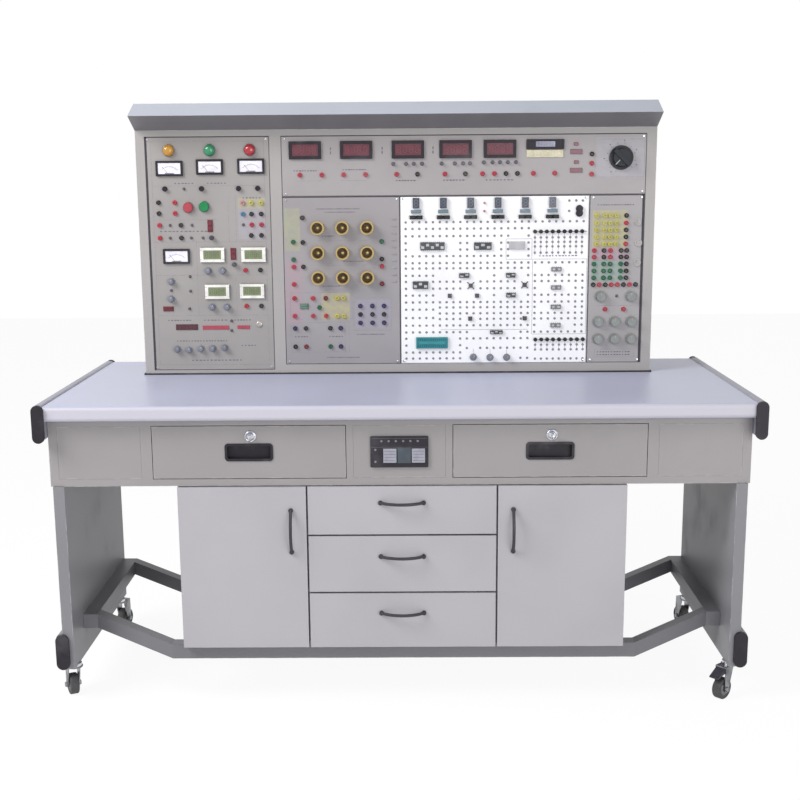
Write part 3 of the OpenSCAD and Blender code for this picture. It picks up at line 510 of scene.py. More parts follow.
def lathe(profile, sides, flutes=0, depth=0.0):
    """Profile of (radius r, height h) carried round an axis that points to the front:
    x = r cos a, y = -h, z = r sin a. Flutes scale r by 1 - depth * (1 + cos(flutes a)) / 2."""
    r, h = np.array(profile, float).T
    a = np.linspace(0, 2 * np.pi, sides, endpoint=False)
    r = r[:, None] * (1 - depth * (1 + np.cos(flutes * a)) / 2)
    return loft(np.stack([r * np.cos(a), -h[:, None] + 0 * r, r * np.sin(a)], -1))


def repeat(points, groups):
    """Copies of one shape, as (copies, points of one, 3): the faces of each copy count on from the last."""
    n, size = points.shape[:2]
    shift = (np.arange(n) * size)[:, None, None]
    return points.reshape(-1, 3), [(g[None] + shift).reshape(-1, g.shape[1]) for g in groups]


def copies(shape, places, base=0.0):
    """The shape at each (x, down) of places, base millimetres in front of the panel."""
    spots = np.array(places, float).reshape(-1, 2)
    moves = np.stack([spots[:, 0], np.full(len(spots), -base), -spots[:, 1]], -1)
    return repeat(shape[0][None] + moves[:, None], shape[1])


def plates(rects, height, chamfer=0.3, base=0.0):
    """Plates with a chamfered front. Each rect is (x, down, width, height of the plate's middle);
    ring 0 is at the base, ring 1 at the shoulder, and ring 2 is drawn in by the chamfer."""
    x, down, w, h = np.array(rects, float).reshape(-1, 4).T[:, :, None, None]
    corner = np.array([[-1, -1], [1, -1], [1, 1], [-1, 1]]) / 2
    inset = np.array([0.0, 0.0, chamfer])[:, None]
    out = np.array([base, base + height - chamfer, base + height])[:, None]
    points = np.stack([x + corner[:, 0] * (w - 2 * inset), -out + 0 * (x + corner[:, 0]),
                       -down + corner[:, 1] * (h - 2 * inset)], -1)
    return repeat(points.reshape(len(points), -1, 3), loft(points[0])[1])


def strokes(lines, width, height=0.12, base=0.0):
    """Flat bars from (x0, down0) to (x1, down1): the line's ends moved half a width to each side."""
    x0, d0, x1, d1 = np.array(lines, float).reshape(-1, 4).T
    length = np.hypot(x1 - x0, d1 - d0)
    nx, nz = (d1 - d0) / length * width / 2, (x1 - x0) / length * width / 2
    x = np.stack([x0 - nx, x1 - nx, x1 + nx, x0 + nx], -1)
    z = np.stack([-d0 - nz, -d1 - nz, -d1 + nz, -d0 + nz], -1)
    rings = np.stack([np.stack([x, np.full_like(x, -y), z], -1) for y in (base, base + height)], 1)
    return repeat(rings.reshape(len(x), -1, 3), loft(rings[0])[1])


def join(*shapes):
    """Several shapes as one: the faces of each count on from the points before it."""
    starts = np.cumsum([0] + [len(points) for points, _ in shapes])
    groups = [g + s for (_, faces), s in zip(shapes, starts) for g in faces]
    return np.concatenate([points for points, _ in shapes]), groups


print("a lathe of 4 rings and 8 sides has", len(lathe([(5, 0), (5, 3), (4, 4), (1, 4)], 8)[1][0]), "quads")

# %% [markdown]
# A shape becomes a piece when it is put on its panel. The object stays at the origin and its place goes into
# the mesh, as with the CAD nodes, so that patterns don't slide. Round sides are shaded smooth, and edges
# sharper than 35 degrees stay crisp.

# %% Put a piece in place
PANEL_GAP = 0.5 * MM
FACE_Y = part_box("logic_board")[0].y
body_of_node = {n: b for b, members in frame["record"]["behaviour"]["bodies"].items() for n in members}
BENCH = body_of_node["worktop"]
corner_of = {
    name: np.array([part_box(name)[0].x - PANEL_GAP, FACE_Y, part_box(name)[1].z + PANEL_GAP])
    for name in ["power_panel", "meter_panel", "circuit_panel", "logic_board", "terminal_panel"]
}
power, meter, circuit, logic, terminal = corner_of.values()


def put(name, shape, material, where, body=BENCH, spin=0.0):
    """Makes the piece from millimetres: turned about Z by spin degrees, then moved to where, in metres."""
    c, s = math.cos(math.radians(spin)), math.sin(math.radians(spin))
    turn = np.array([[c, s, 0], [-s, c, 0], [0, 0, 1]])
    points = shape[0] * MM @ turn + np.asarray(where, float)
    mesh = bpy.data.meshes.new(name)
    mesh.from_pydata(points.tolist(), [], [face for group in shape[1] for face in group.tolist()])
    mesh.shade_smooth()
    mesh.set_sharp_from_angle(angle=math.radians(35))
    mesh.materials.append(material)
    piece = bpy.data.objects.new(name, mesh)
    bpy.context.scene.collection.objects.link(piece)
    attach(piece, body)
    return piece


def turned(name, profile, sides, places, material, where, flutes=0, depth=0.0):
    """One lathe copied to every place."""
    return put(name, copies(lathe(profile, sides, flutes, depth), places), material, where)


def pressed(name, rects, sizes, material, where):
    """A plate on every rect. sizes is the height, the chamfer and, for plates off the panel, the base."""
    return put(name, plates(rects, *sizes), material, where)


def tiles(spots, w, h, lower=0.0):
    """Rectangles w by h at every spot, each moved down by lower."""
    return [(x, down + lower, w, h) for x, down in spots]


print("panels' corners:", {k: tuple(np.round(v, 3)) for k, v in corner_of.items()})

# %% [markdown]
# ## The panels and their print
# The panels are anodised sheets with a screen print: thin frames round each group, marks under each fitting,
# and coloured fields behind groups of jacks. Coloured fields are flat ink without any thickness, so they are
# masks in the panel's material. Lines are ink too, but as thin bars they stay crisp from every distance.

# %% Panel sheets
def field(place, panel, x0, down0, x1, down1):
    """1 inside a rectangle of the panel, given in millimetres, with an edge 4 mm soft."""
    left, _, top = corner_of[panel]
    x, _, z = place.parts()
    across = x.between(left + x0 * MM, left + x1 * MM, 0.004)
    return across * z.between(top - down1 * MM, top - down0 * MM, 0.004)


TINTS = {
    "power_panel": [(226, 150, 290, 172, "B3AE8C"), (226, 176, 290, 246, "A6A2AC")],
    "meter_panel": [(770, 12, 886, 104, "A9A6AF")],
    "circuit_panel": [(6, 30, 40, 130, "A6A78A"), (6, 158, 44, 310, "AA929B"), (94, 238, 160, 302, "B3AC7F"),
                      (178, 256, 262, 322, "9F99AA")],
    "terminal_panel": [(10, 40, 92, 128, "B3AE78"), (12, 130, 98, 160, "AF8E9E"),
                       (10, 161, 86, 210, "809F92")],
    "logic_board": [],
}


def panel_recipe(place, panel, tint):
    cloud = place.noise(7.0, 3.0)
    grain = place.noise(1500.0, 2.0)
    sheet = cloud.step(0.3, 0.7).blend(dimmer(tint, 0.95), dimmer(tint, 1.03))
    sheet = (grain.step(0.5, 0.8) * 0.16).blend(sheet, dimmer(tint, 0.8))
    for x0, down0, x1, down1, code in TINTS[panel]:
        patchy = 0.35 + place.noise(90.0, 4.0).step(0.3, 0.75) * 0.5
        sheet = (field(place, panel, x0, down0, x1, down1) * patchy).blend(sheet, colour(code))
    return {
        "Base Color": sheet,
        "Roughness": 0.36 + cloud * 0.12,
        "Normal": grain.relief(0.00008, 0.2),
    }


SHEETS = {"power_panel": "9C9896", "meter_panel": "A29D9E", "circuit_panel": "9A9699",
          "terminal_panel": "A19D9F", "logic_board": "F7F7F9"}
for panel, code in SHEETS.items():
    dress(panel, finish("sheet_" + panel, lambda p, n=panel, t=colour(code): panel_recipe(p, n, t)))
print("panel sheets:", ", ".join(corner_of))

# %% Frames, rules and marks
dark_ink = ink("dark_ink", "6F6B76")
grey_ink = ink("grey_ink", "94919A")
# 38343C is painted shade: the shadow round the panels, and the dark of the screw slots and of the back's
#                          cooling slots.
shadow_ink = ink("seam_shadow", "38343C")


def frame_lines(x0, down0, x1, down1):
    """The four sides of a rectangle as lines."""
    return [(x0, down0, x1, down0), (x1, down0, x1, down1), (x1, down1, x0, down1), (x0, down1, x0, down0)]


def marks(x0, x1, down, count):
    """A row of short strokes of uneven length that stands for a printed title."""
    edge = np.linspace(x0, x1, count + 1)
    share = 0.45 + 0.3 * np.sin(2.4 * np.arange(count)) ** 2
    return [(a, down, a + (b - a) * s, down) for a, b, s in zip(edge[:-1], edge[1:], share)]


RULES = {
    "power_panel": frame_lines(15, 12, 291, 560) + [(15, y, 291, y) for y in (118, 254, 336, 436)] +
                   [(118, 254, 118, 436), (200, 140, 200, 254), (218, 140, 218, 254), (15, 200, 170, 200),
                    (214, 336, 214, 436)],
    "meter_panel": [(775, 104, 886, 104), (886, 104, 886, 14), (775, 14, 886, 14)] +
                   [(x, 108, x + 60, 108) for x in (40, 146, 278, 396)],
    "circuit_panel": frame_lines(14, 235, 168, 301) + frame_lines(172, 248, 266, 330) +
                     frame_lines(14, 310, 160, 384) + [(86, y, 208, y) for y in (107, 168, 229)] +
                     [(64, 330, 64, 380), (150, 310, 150, 384)],
    "terminal_panel": frame_lines(20, 381, 118, 401) + [(20, 272, 112, 272)],
    "logic_board": frame_lines(262, 106, 326, 156) + frame_lines(328, 156, 462, 342) +
                   [(100, 330, 318, 330)] +
                   [(333 + 14.5 * i, 94, 333 + 14.5 * i, 146) for i in range(9)] +
                   [(337 + 14.9 * i, 361, 337 + 14.9 * i, 384) for i in range(9)] +
                   [(x, 378, x, 392) for x in (182, 224, 266)],
}
TITLES = {
    "power_panel": [(96, 226, 549, 14), (70, 120, 112, 6), (150, 200, 112, 6), (60, 190, 500, 18),
                    (222, 262, 512, 5), (40, 100, 448, 8), (130, 190, 448, 7), (206, 250, 448, 6),
                    (30, 150, 228, 12), (236, 284, 148, 6)],
    "meter_panel": [(30, 90, 84, 9), (150, 210, 82, 9), (280, 330, 109, 7), (396, 450, 109, 7),
                    (500, 570, 109, 8)],
    "circuit_panel": [(84, 192, 30, 22), (104, 180, 38, 14), (104, 186, 398, 16), (180, 250, 340, 12),
                      (24, 60, 345, 5), (110, 148, 345, 5), (96, 130, 96, 5), (150, 200, 158, 8),
                      (96, 140, 219, 7)],
    "terminal_panel": [(20, 112, 25, 14), (26, 110, 388, 12), (26, 110, 395, 12)],
    "logic_board": [(344, 440, 148, 12)],
}
for panel, where in corner_of.items():
    put("rules_" + panel, strokes(RULES[panel], 0.9), grey_ink, where)
    put("titles_" + panel, join(*[strokes(marks(*t), 2.6) for t in TITLES[panel]]), dark_ink, where)
print("rules:", sum(map(len, RULES.values())), "titles:", sum(map(len, TITLES.values())))

# %% [markdown]
# Each panel sits in the frame, and round it the frame's edge casts a thin shadow, widest at the top, which is
# painted on as dark bars. Only the power panel's left bar and the terminal panel's right one are wider: they
# are painted shade in two gaps. A dark strip runs along the console's foot, at the front and both sides.

# %% Painted panel shadows and foot strip
SHADOW_TOP = 2.4
SHADOW_LEFT = 1.6
SHADOW_THIN = 1.0
LEFT_GAP = 5.5
RIGHT_GAP = 6.0


def panel_shadow_bars(panel):
    """Dark bars just inside the panel's four edges: the painted shadow of the frame's edge, and painted shade
    in the two wide gaps.
    """
    low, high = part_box(panel)
    w, h = (high.x - low.x) / MM, (high.z - low.z) / MM
    left = LEFT_GAP if panel == "power_panel" else SHADOW_LEFT
    right = RIGHT_GAP if panel == "terminal_panel" else SHADOW_THIN
    return plates([(w / 2, SHADOW_TOP / 2, w, SHADOW_TOP), (left / 2, h / 2, left, h),
                   (w - right / 2, h / 2, right, h), (w / 2, h - SHADOW_THIN / 2, w, SHADOW_THIN)], 0.25, 0.05)


for panel, where in corner_of.items():
    put("seam_" + panel, panel_shadow_bars(panel), shadow_ink, where)

foot_low, foot_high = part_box("console_case")
STRIP = 4.0
STRIP_HEIGHT = 3.5
strip_w = (foot_high.x - foot_low.x) / MM
strip_d = (foot_high.y - console_front) / MM
strip_top = worktop_high.z + STRIP_HEIGHT * MM
# A dark strip, 3.5 mm high and 4 mm deep, along the console's foot at the front and both sides.
dark_strip_plastic = plastic("dark_foot_strip", "2B2830", 0.6)
front_bar = [(strip_w / 2, STRIP_HEIGHT / 2, strip_w + 2 * STRIP, STRIP_HEIGHT)]
pressed("foot_strip_front", front_bar, (STRIP, 1.0), dark_strip_plastic, (foot_low.x, console_front, strip_top))
for side, x in (("left", foot_low.x), ("right", foot_high.x + STRIP * MM)):
    pressed("foot_strip_" + side, [(-STRIP / 2, STRIP_HEIGHT / 2, STRIP, STRIP_HEIGHT)], (strip_d, 1.0),
            dark_strip_plastic, (x, foot_high.y, strip_top))
print("seams and foot strip, strip", round(strip_w), "mm long")

# %% [markdown]
# ## Jacks
# A jack is a coloured collar round a nickel sleeve, into which a 4 mm plug goes. There are about 140 of them
# and their colour tells what they carry: red for plus, black for minus, yellow, green and blue for phases and
# signals. Modelling one and letting numpy copy it keeps each at a few dozen faces. One piece for each colour
# then replaces the CAD node.

# %% Jack places
def rows(pattern, xs, downs):
    """Letters to places: one word for each row of downs, one letter for each x, a dot for no jack."""
    return [(letter, x, down) for word, down in zip(pattern.split(), downs) for letter, x in zip(word, xs)
            if letter != "."]


JACKS = {
    "power_panel": rows("kr kr", [29, 69], [158, 184]) + rows("rk rk", [29, 82], [213, 244]) +
                   rows("pyy bkk .rr", [236, 257, 281], [160, 187, 213]) + rows("kk", [255, 280], [239]) +
                   rows("rk rk", [238, 275], [324, 413]),
    "meter_panel": rows("rrrrrkrkrrkkrr",
                        [45, 99, 152, 206, 282, 333, 400, 450, 492, 521, 549, 577, 616, 668], [94]) +
                   rows("k r r", [758], [49, 71, 97]),
    "circuit_panel": rows("k k k", [49], [51, 111, 171]) +
                     rows("gg gk rr rd", [25, 244], [110, 153, 171, 214]) +
                     rows("rrdyy rrryy", [25, 71, 103, 131, 147], [249, 293]) +
                     rows("nnn kkk nnn", [189, 219, 248], [269, 290, 311]) +
                     rows("nkkn kdgn", [25, 52, 113, 139], [324, 370]) + rows("g", [87], [272]),
    "terminal_panel": rows("yyyyk yyyyr yyyyk yyyyk yyyyr", [19, 38, 52, 67, 91], [51, 69, 86, 103, 120]) +
                      rows("rkrkk rkrkk", [14, 38, 54, 80, 94], [136, 152]) +
                      rows("ggggk ggggk ggggk", [14, 38, 54, 80, 94], [169, 186, 203]) +
                      rows("krkrrkrk", [13 + 15 * i for i in range(8)], [220]) + rows("rr", [44, 90], [281]),
}
JACK_COLOURS = {"r": ("red", "B02F42"), "k": ("black", "1D1A20"), "y": ("yellow", "BCB35A"),
                "b": ("blue", "4A7C9C"), "g": ("green", "1F5C42"), "n": ("navy", "2A2750"),
                "p": ("pink", "BE8088"), "d": ("maroon", "6E2630")}
COLLAR = [(5.8, 0), (5.8, 3.4), (5.3, 4.6), (4.6, 5.0), (2.8, 5.0), (2.3, 4.4), (2.3, 2.6)]
SLEEVE = [(2.3, 2.2), (2.3, 3.8), (1.8, 3.8), (1.8, 2.2)]


def on_console(panel, places):
    """Places of one panel as places from the power panel's corner, so that one mesh can span all panels."""
    offset = (corner_of[panel] - corner_of["power_panel"]) / MM
    return [(x + offset[0], down - offset[2]) for x, down in places]


for letter, (name, code) in JACK_COLOURS.items():
    spots = [p for panel, jacks in JACKS.items()
             for p in on_console(panel, [(x, down) for c, x, down in jacks if c == letter])]
    collars = copies(lathe(COLLAR, 12), spots)
    put("jacks_" + name, collars, plastic("jack_" + name, code, 0.5), power)
    print(name, "jacks:", len(spots), "with", len(collars[1][0]) // max(len(spots), 1), "quads each")
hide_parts("jacks")
every_jack = [p for panel, jacks in JACKS.items() for p in on_console(panel, [(x, d) for _, x, d in jacks])]
# 8A857C is nickel darkened so that the bore looks dark: painted shade in the bore.
turned("jack_sleeves", SLEEVE, 10, every_jack, metal("shaded_nickel_sleeve", "8A857C", 0.4), power)

# %% [markdown]
# ## Signal lamps
# A pilot lamp has a plated bezel and a domed lens with ribs inside that spread the light. A lathe makes both,
# and the ribs are the lathe's flutes. The lens is coloured plastic with a clear coat, which gives the sharp
# highlight of a polished dome.

# %% Signal lamps
LAMP_PLACES = {"yellow": ((59, 33), "B98422"), "green": ((159, 33), "24855A"), "red": ((257, 33), "A81D2C")}
BEZEL = [(15.0, 0), (15.0, 2.6), (14.7, 3.6), (14.3, 3.8), (14.0, 3.4), (14.0, 2.0)]
LENS_R = 13.9
dome = [(LENS_R * math.cos(t), 5.4 + 9.2 * math.sin(t)) for t in np.linspace(0, 1.5, 9)]
lens_profile = [(LENS_R, 2.2)] + dome
lamps = [turned("lamp_bezels", BEZEL, 40, [p for p, _ in LAMP_PLACES.values()], zinc, power)]
for name, (place, code) in LAMP_PLACES.items():
    clear = plastic("lens_" + name, code, 0.16, 1.0, 0.08)
    lamps.append(turned("lamp_lens_" + name, lens_profile, 60, [place], clear, power, 20, 0.03))
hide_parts("signal_lamps")
print("signal lamps:", len(LAMP_PLACES))

# %% [markdown]
# ## Lamp sockets
# The nine brass sockets take small screw lamps. The CAD node gives the shells. Inside, the real socket shows
# a rolled thread, a dark insulator and a springy centre contact, which is what catches the eye in front.
# The thread is a lathe profile whose radius swings with its height.

# %% Socket insides
SOCKETS = [(86 + 61 * i, 76 + 61 * j) for i in range(3) for j in range(3)]
THREAD_FOOT = 3.2
THREAD_TOP = 21.6
THREAD_PITCH = 4.6
thread = [(13.5, 3.1), (13.5, 21.9)]
for h in np.linspace(THREAD_TOP, THREAD_FOOT, 33):
    thread.append((12.6 + 0.7 * math.cos(2 * math.pi * (h - THREAD_FOOT) / THREAD_PITCH), h))
INSULATOR = [(12.4, 3.0), (12.4, 4.2), (9.0, 4.8), (6.0, 5.0), (5.6, 4.6)]
CONTACT = [(5.2, 4.6), (5.2, 5.6), (4.0, 7.4), (2.0, 8.2), (0.8, 8.4)]
turned("socket_threads", thread, 28, SOCKETS, metal("thread_brass", "9C8654", 0.4, 0.2, 0.5), circuit)
turned("socket_insulators", INSULATOR, 24, SOCKETS, plastic("bakelite", "6E5A44", 0.42), circuit)
turned("socket_contacts", CONTACT, 20, SOCKETS, metal("contact_brass", "DCC890", 0.28, 0.1, 0.5), circuit)
print("lamp sockets:", len(SOCKETS), "thread turns:", round((THREAD_TOP - THREAD_FOOT) / THREAD_PITCH, 1))

# %% [markdown]
# ## Digital meters
# A digital panel meter is a black frame round a dark red window. Its seven-segment figures are off, but the
# bars can be seen through the red filter as slightly brighter shapes. A figure is seven strokes, and numpy
# shifts them to every place.

# %% Digits
def segment_lines(w, h):
    """The seven bars of a figure w by h, shortened at their ends so that they don't touch."""
    g = 0.12 * w
    left, right, top, mid, low = -w / 2, w / 2, -h / 2, 0.0, h / 2
    across = [(left + g, y, right - g, y) for y in (top, mid, low)]
    upright = [(x, start + g, x, end - g) for start, end in ((top, mid), (mid, low)) for x in (left, right)]
    return np.array(across + upright)


def digits(places, w, h, width, base):
    """All figures as one shape: the seven bars moved to each place."""
    spots = np.array(places, float)
    lines = segment_lines(w, h)[None] + np.concatenate([spots, spots], 1)[:, None]
    return strokes(lines.reshape(-1, 4), width, 0.1, base)


LED_METERS = [(59, 35), (184, 35), (310, 35), (426, 35), (534, 35)]
red_window = plastic("red_filter", "63323E", 0.22, 0.4)
WINDOW = (0.8, 0.3, 3.0)
pressed("led_windows", tiles(LED_METERS, 64.6, 28.6), WINDOW, red_window, meter)
led_places = [(x - 22 + 14.6 * k, d) for x, d in LED_METERS for k in range(4)]
put("led_digits", digits(led_places, 8.0, 15.0, 1.7, 3.8), plastic("dim_segment", "7C3945", 0.3, 0.4), meter)
pressed("timer_display", [(644.5, 24.5, 47, 13)], WINDOW, plastic("timer_glass", "8C8DA8", 0.2, 0.6), meter)
put("timer_digits", digits([(628 + 6.6 * k, 24.5) for k in range(6)], 3.4, 7.0, 0.8, 3.8), dark_ink, meter)
timer_bed = plates([(643.5, 47, 89, 18)], 3.0, 0.8)
timer_row = plates([(x, 47, 11, 8) for x in range(610, 690, 17)], 1.2, 0.5, 3.0)
put("timer_keys", join(timer_bed, timer_row), plastic("cream_plastic", "D9D2B8", 0.4), meter)
unit_marks = [(x, d, x, d + 7) for x in (121, 247, 371) for d in (28, 38)]
put("unit_marks", strokes(unit_marks, 3.0), dark_ink, meter)
print("figures in the digital meters:", len(led_places))

# %% [markdown]
# ## Liquid crystal meters and analogue meters
# The four small meters have a white frame and a grey-green window with dark figures. The analogue meters
# have a white face, an arc of scale marks, a needle and a dark cover over its pivot. The arc is computed:
# each mark runs from radius r to r + length at an equal step of angle.

# %% Meter faces
LCD_METERS = [(157, 286), (259, 286), (166, 377), (253, 376)]
FACE = (0.6, 0.3, 3.0)
pressed("lcd_windows", tiles(LCD_METERS, 50.6, 25.6), FACE, plastic("lcd_glass", "7E8868", 0.25, 0.4), power)
lcd_places = [(x - 14 + 9.3 * k, d) for x, d in LCD_METERS for k in range(4)]
put("lcd_digits", digits(lcd_places, 5.6, 12.0, 1.2, 3.6), plastic("lcd_segment", "59614A", 0.4), power)


def window_frame(x, down, w, h, side, top):
    """Four flat bars round a window: w by h outside, side and top wide."""
    bars = [(x, down + s * (h - top) / 2, w, top) for s in (-1, 1)]
    bars += [(x + s * (w - side) / 2, down, side, h - 2 * top) for s in (-1, 1)]
    return plates(bars, 5.4, 0.6)


put("lcd_frames", join(*[window_frame(x, d, 61, 36, 8.6, 7.0) for x, d in LCD_METERS]),
    plastic("white_frame", "EAE8E2", 0.4), power)

ANALOG_METERS = [(59, 76), (158, 73), (259, 72), (68, 289)]
SCALE_R = 26.0
SCALE_MARKS = 31
swing = np.radians(np.linspace(-48, 48, SCALE_MARKS))


def scale_marks(x, down):
    """Marks round a pivot below the face, from r to r + length, at equal angles; every fifth is long."""
    length = np.where(np.arange(SCALE_MARKS) % 5 == 0, 4.0, 2.2)
    pivot = down + 22.0
    inner = np.stack([x + SCALE_R * np.sin(swing), pivot - SCALE_R * np.cos(swing)], -1)
    outer = np.stack([x + (SCALE_R + length) * np.sin(swing), pivot - (SCALE_R + length) * np.cos(swing)], -1)
    arc = np.concatenate([inner[:-1], inner[1:]], 1)
    return np.concatenate([np.concatenate([inner, outer], 1), arc])


pressed("dial_faces", tiles(ANALOG_METERS, 55.6, 26.6), FACE, plastic("dial_paper", "EEEBF6", 0.5), power)
put("dial_scales", strokes(np.concatenate([scale_marks(x, d) for x, d in ANALOG_METERS]), 0.45, 0.06, 3.6),
    grey_ink, power)
put("dial_needles", strokes([(x - 4, d + 12, x - 17, d - 4) for x, d in ANALOG_METERS], 0.7, 0.4, 3.9),
    plastic("needle_grey", "6B6670", 0.4), power)
pressed("dial_hoods", tiles(ANALOG_METERS, 22, 2.6, 11.8), (1.6, 0.5, 3.0), grey_ink, power)
dress("analog_meters", black)
print("meter faces:", len(LCD_METERS), "+", len(ANALOG_METERS))

# %% [markdown]
# ## Small knobs, rockers, fuses and buttons
# These fittings are too small and too many for nodes of their own. A small knob is a lathe with flutes: the
# skirt stays round and the grip swings in and out twelve times a turn. A rocker is a frame whose upper half
# stands out and whose lower half is pressed in. All of them replace one CAD node of plain stand-ins.

# %% Fixed controls
KNOBS = [(60, 520), (89, 522), (119, 519), (149, 519), (179, 517), (145, 325), (181, 325), (152, 415),
         (189, 415), (52, 351), (50, 394)] + on_console("logic_board", [(182, 399), (224, 400), (266, 400)])
FUSES = [(46, 125), (136, 125), (227, 125), (274, 125)]
DARK_KNOBS = [(157, 244), (211, 310)]
STUDS = [(93, 125), (55, 213), (109, 213), (54, 244), (106, 244), (135, 244), (236, 213), (51, 373),
         (99, 339), (99, 375), (95, 419), (199, 450), (198, 474)] + on_console("terminal_panel", [(72, 248)])
push_spots = [(x, 69) for x in (274, 305, 324, 344, 392, 424, 444, 461)]
push_spots = on_console("meter_panel", push_spots + [(x, 67) for x in (495, 516, 534, 553, 573)])
SKIRT = [(9.0, 0), (9.0, 2.4), (8.2, 3.2), (7.6, 3.4)]
GRIP = [(7.4, 3.0), (7.2, 12.0), (6.4, 13.4), (5.0, 13.8), (1.0, 13.5)]
BUTTON = [(6.0, 0), (6.0, 2.0), (5.0, 3.0), (4.2, 3.2), (4.2, 7.0), (3.6, 8.0), (1.0, 8.4)]
FUSE = [(6.5, 0), (6.5, 2.0), (5.8, 2.6), (5.8, 8.0), (5.0, 9.0), (2.0, 9.0), (1.6, 8.0)]


def scaled(profile, wide, high=1.0):
    """The profile with its radii times wide and its heights times high."""
    return [(r * wide, h * high) for r, h in profile]


def rocker(x, down, w, h):
    """A frame and, in it, two halves: the upper one stands out, the lower one is pressed in."""
    return join(plates([(x, down, w, h)], 2.0, 0.6),
                plates([(x, down - h * 0.2, w - 3.6, h * 0.4)], 2.8, 1.2, 2.0),
                plates([(x, down + h * 0.2, w - 3.6, h * 0.4)], 1.0, 0.4, 2.0))


knob = join(lathe(SKIRT, 36), lathe(GRIP, 72, 12, 0.08))
maroon = plastic("maroon_rocker", "6E2734", 0.3, 0.4)
rockers = join(rocker(154, 215, 13, 30), rocker(209, 284, 14, 29), rocker(42, 419, 26, 12))
controls = [
    put("small_knobs", copies(knob, KNOBS), plastic("blue_grey_knob", "7A7D88", 0.42), power),
    turned("push_keys", scaled(BUTTON, 0.8), 16, push_spots, plastic("key_grey", "5C5966", 0.35, 0.2), power),
    turned("fuse_caps", FUSE, 24, FUSES, black, power, 12, 0.03),
    turned("small_studs", scaled(BUTTON, 0.62, 0.5), 14, STUDS,
           plastic("stud_dark", "565158", 0.4, 0.2), power),
    turned("dark_knobs", scaled(GRIP, 0.8, 0.85), 48, DARK_KNOBS, plastic("dark_knob", "45454E", 0.4), power,
           10, 0.08),
    put("rockers", rockers, maroon, power),
    put("green_switch", rocker(49, 269, 22, 14), plastic("green_switch", "5E7A6C", 0.35, 0.3), circuit),
]
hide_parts("fixed_controls")
put("small_knob_lines", strokes([(x, d - 1, x + 3.5, d - 5.5) for x, d in KNOBS], 0.9, 0.1, 13.8),
    plastic("white_line", "BDBDC2", 0.4), power)
print("small knobs:", len(KNOBS), "keys:", len(push_spots), "studs:", len(STUDS))

# %% [markdown]
# Below the meters of the power panel is a function generator: a dark red display, two red lit bands and a
# small socket. On the meter panel two pairs of dark red windows belong to the alarm. They are plates with a
# chamfer, and the figures are again seven strokes.

# %% Generator and alarm windows
dark_window = plastic("dark_window", "431F2B", 0.25, 0.6)
lit_band = plastic("lit_band", "A04052", 0.3, 0.4, 0.1)
pressed("generator_window", [(86.5, 465, 55, 14)], (2.0, 0.5), dark_window, power)
put("generator_digits", digits([(68 + 9.2 * k, 465) for k in range(5)], 4.6, 8.4, 1.0, 2.0), maroon, power)
pressed("generator_bands", [(159, 466.5, 66, 10), (228.5, 466, 31, 9)], (1.6, 0.4), lit_band, power)
RIM = [(7, 0), (7, 2.4), (6, 3), (4.4, 3), (4, 1.2)]
turned("generator_socket", RIM, 28, [(268, 459)], metal("socket_nickel", "B5B0AC", 0.32), power)
ALARMS = [(719.5, 43, 29, 12), (720, 87.5, 30, 11), (719, 25, 11, 8), (720, 68, 11, 8)]
pressed("alarm_windows", ALARMS, (2.2, 0.6), plastic("alarm_window", "6B2C40", 0.28, 0.5), meter)
PALE_ROUNDS = [(119, 67), (122, 118), (120, 166)]
PALE_RIM = [(9.5, 0), (9.5, 2.2), (8.6, 3), (6.4, 3), (6.0, 1.8), (2.2, 1.8), (1.8, 3.2)]
turned("pale_sockets", PALE_RIM, 28, PALE_ROUNDS, plastic("pale_socket", "ABA7A6", 0.4), terminal)
print("windows and pale sockets placed")

# %% [markdown]
# ## Knobs that move
# The selector, the two push-buttons and the eight potentiometer knobs are CAD nodes with joints. What is
# printed on them moves with them, so the white lines ride on the knobs' bodies, while the scale rings and the
# buttons' bezels stay on the panel.

# %% Pointers, scales and bezels
def ring_ticks(x, down, radius, length, first, last, count):
    """Ticks round a knob: from radius to radius + length, count of them between two angles from the top."""
    a = np.radians(np.linspace(first, last, count))
    near = np.stack([x + radius * np.sin(a), down - radius * np.cos(a)], -1)
    far = np.stack([x + (radius + length) * np.sin(a), down - (radius + length) * np.cos(a)], -1)
    return np.concatenate([near, far], 1)


pale_line = plastic("pale_line", "B4B4B2", 0.4)
POTS = [(32, 249), (107, 249)] + [(x, d) for d in (312, 355) for x in (28, 69, 110)]
put("pot_scales", strokes(np.concatenate([ring_ticks(x, d, 15.5, 2.2, -150, 150, 11) for x, d in POTS]), 0.7),
    grey_ink, terminal)
for i, (x, down) in enumerate(POTS, 1):
    line = strokes([(x, down - 3, x, down - 9.5)], 1.1, 0.15, 15.3)
    put(f"pot_line_{i}", line, pale_line, terminal, body_of_node[f"pot_knob_{i}"])

SELECTOR = (829, 58)
inner_ring = strokes(ring_ticks(*SELECTOR, 33, 4, -160, 130, 11), 1.1)
outer_ring = strokes(ring_ticks(*SELECTOR, 39.5, 3.4, -145, 115, 6), 2.4)
put("selector_scale", join(inner_ring, outer_ring), dark_ink, meter)
middle_x, middle_down = SELECTOR
pointer = strokes([(middle_x - 6, middle_down + 6, middle_x - 16.5, middle_down + 16.5)], 1.8, 0.15, 24.3)
put("selector_line", pointer, pale_line, meter, body_of_node["selector_knob"])
COLLAR_RING = [(13.9, 0), (13.9, 1.6), (13.5, 2.4), (13.1, 2.6), (12.8, 2.2), (12.8, 1.0)]
turned("button_bezels", COLLAR_RING, 36, [(102, 170), (141, 168)], zinc, power)
print("pot scales:", len(POTS))

# %% [markdown]
# ## The logic board
# The white board is a field of tiny plug sockets, about 17 mm apart, round the chips. Each is a grey eyelet.
# There are several hundred, so one has only some two dozen faces. The rows are written as they are counted
# on the board: how far down, then the first and last column of each run.

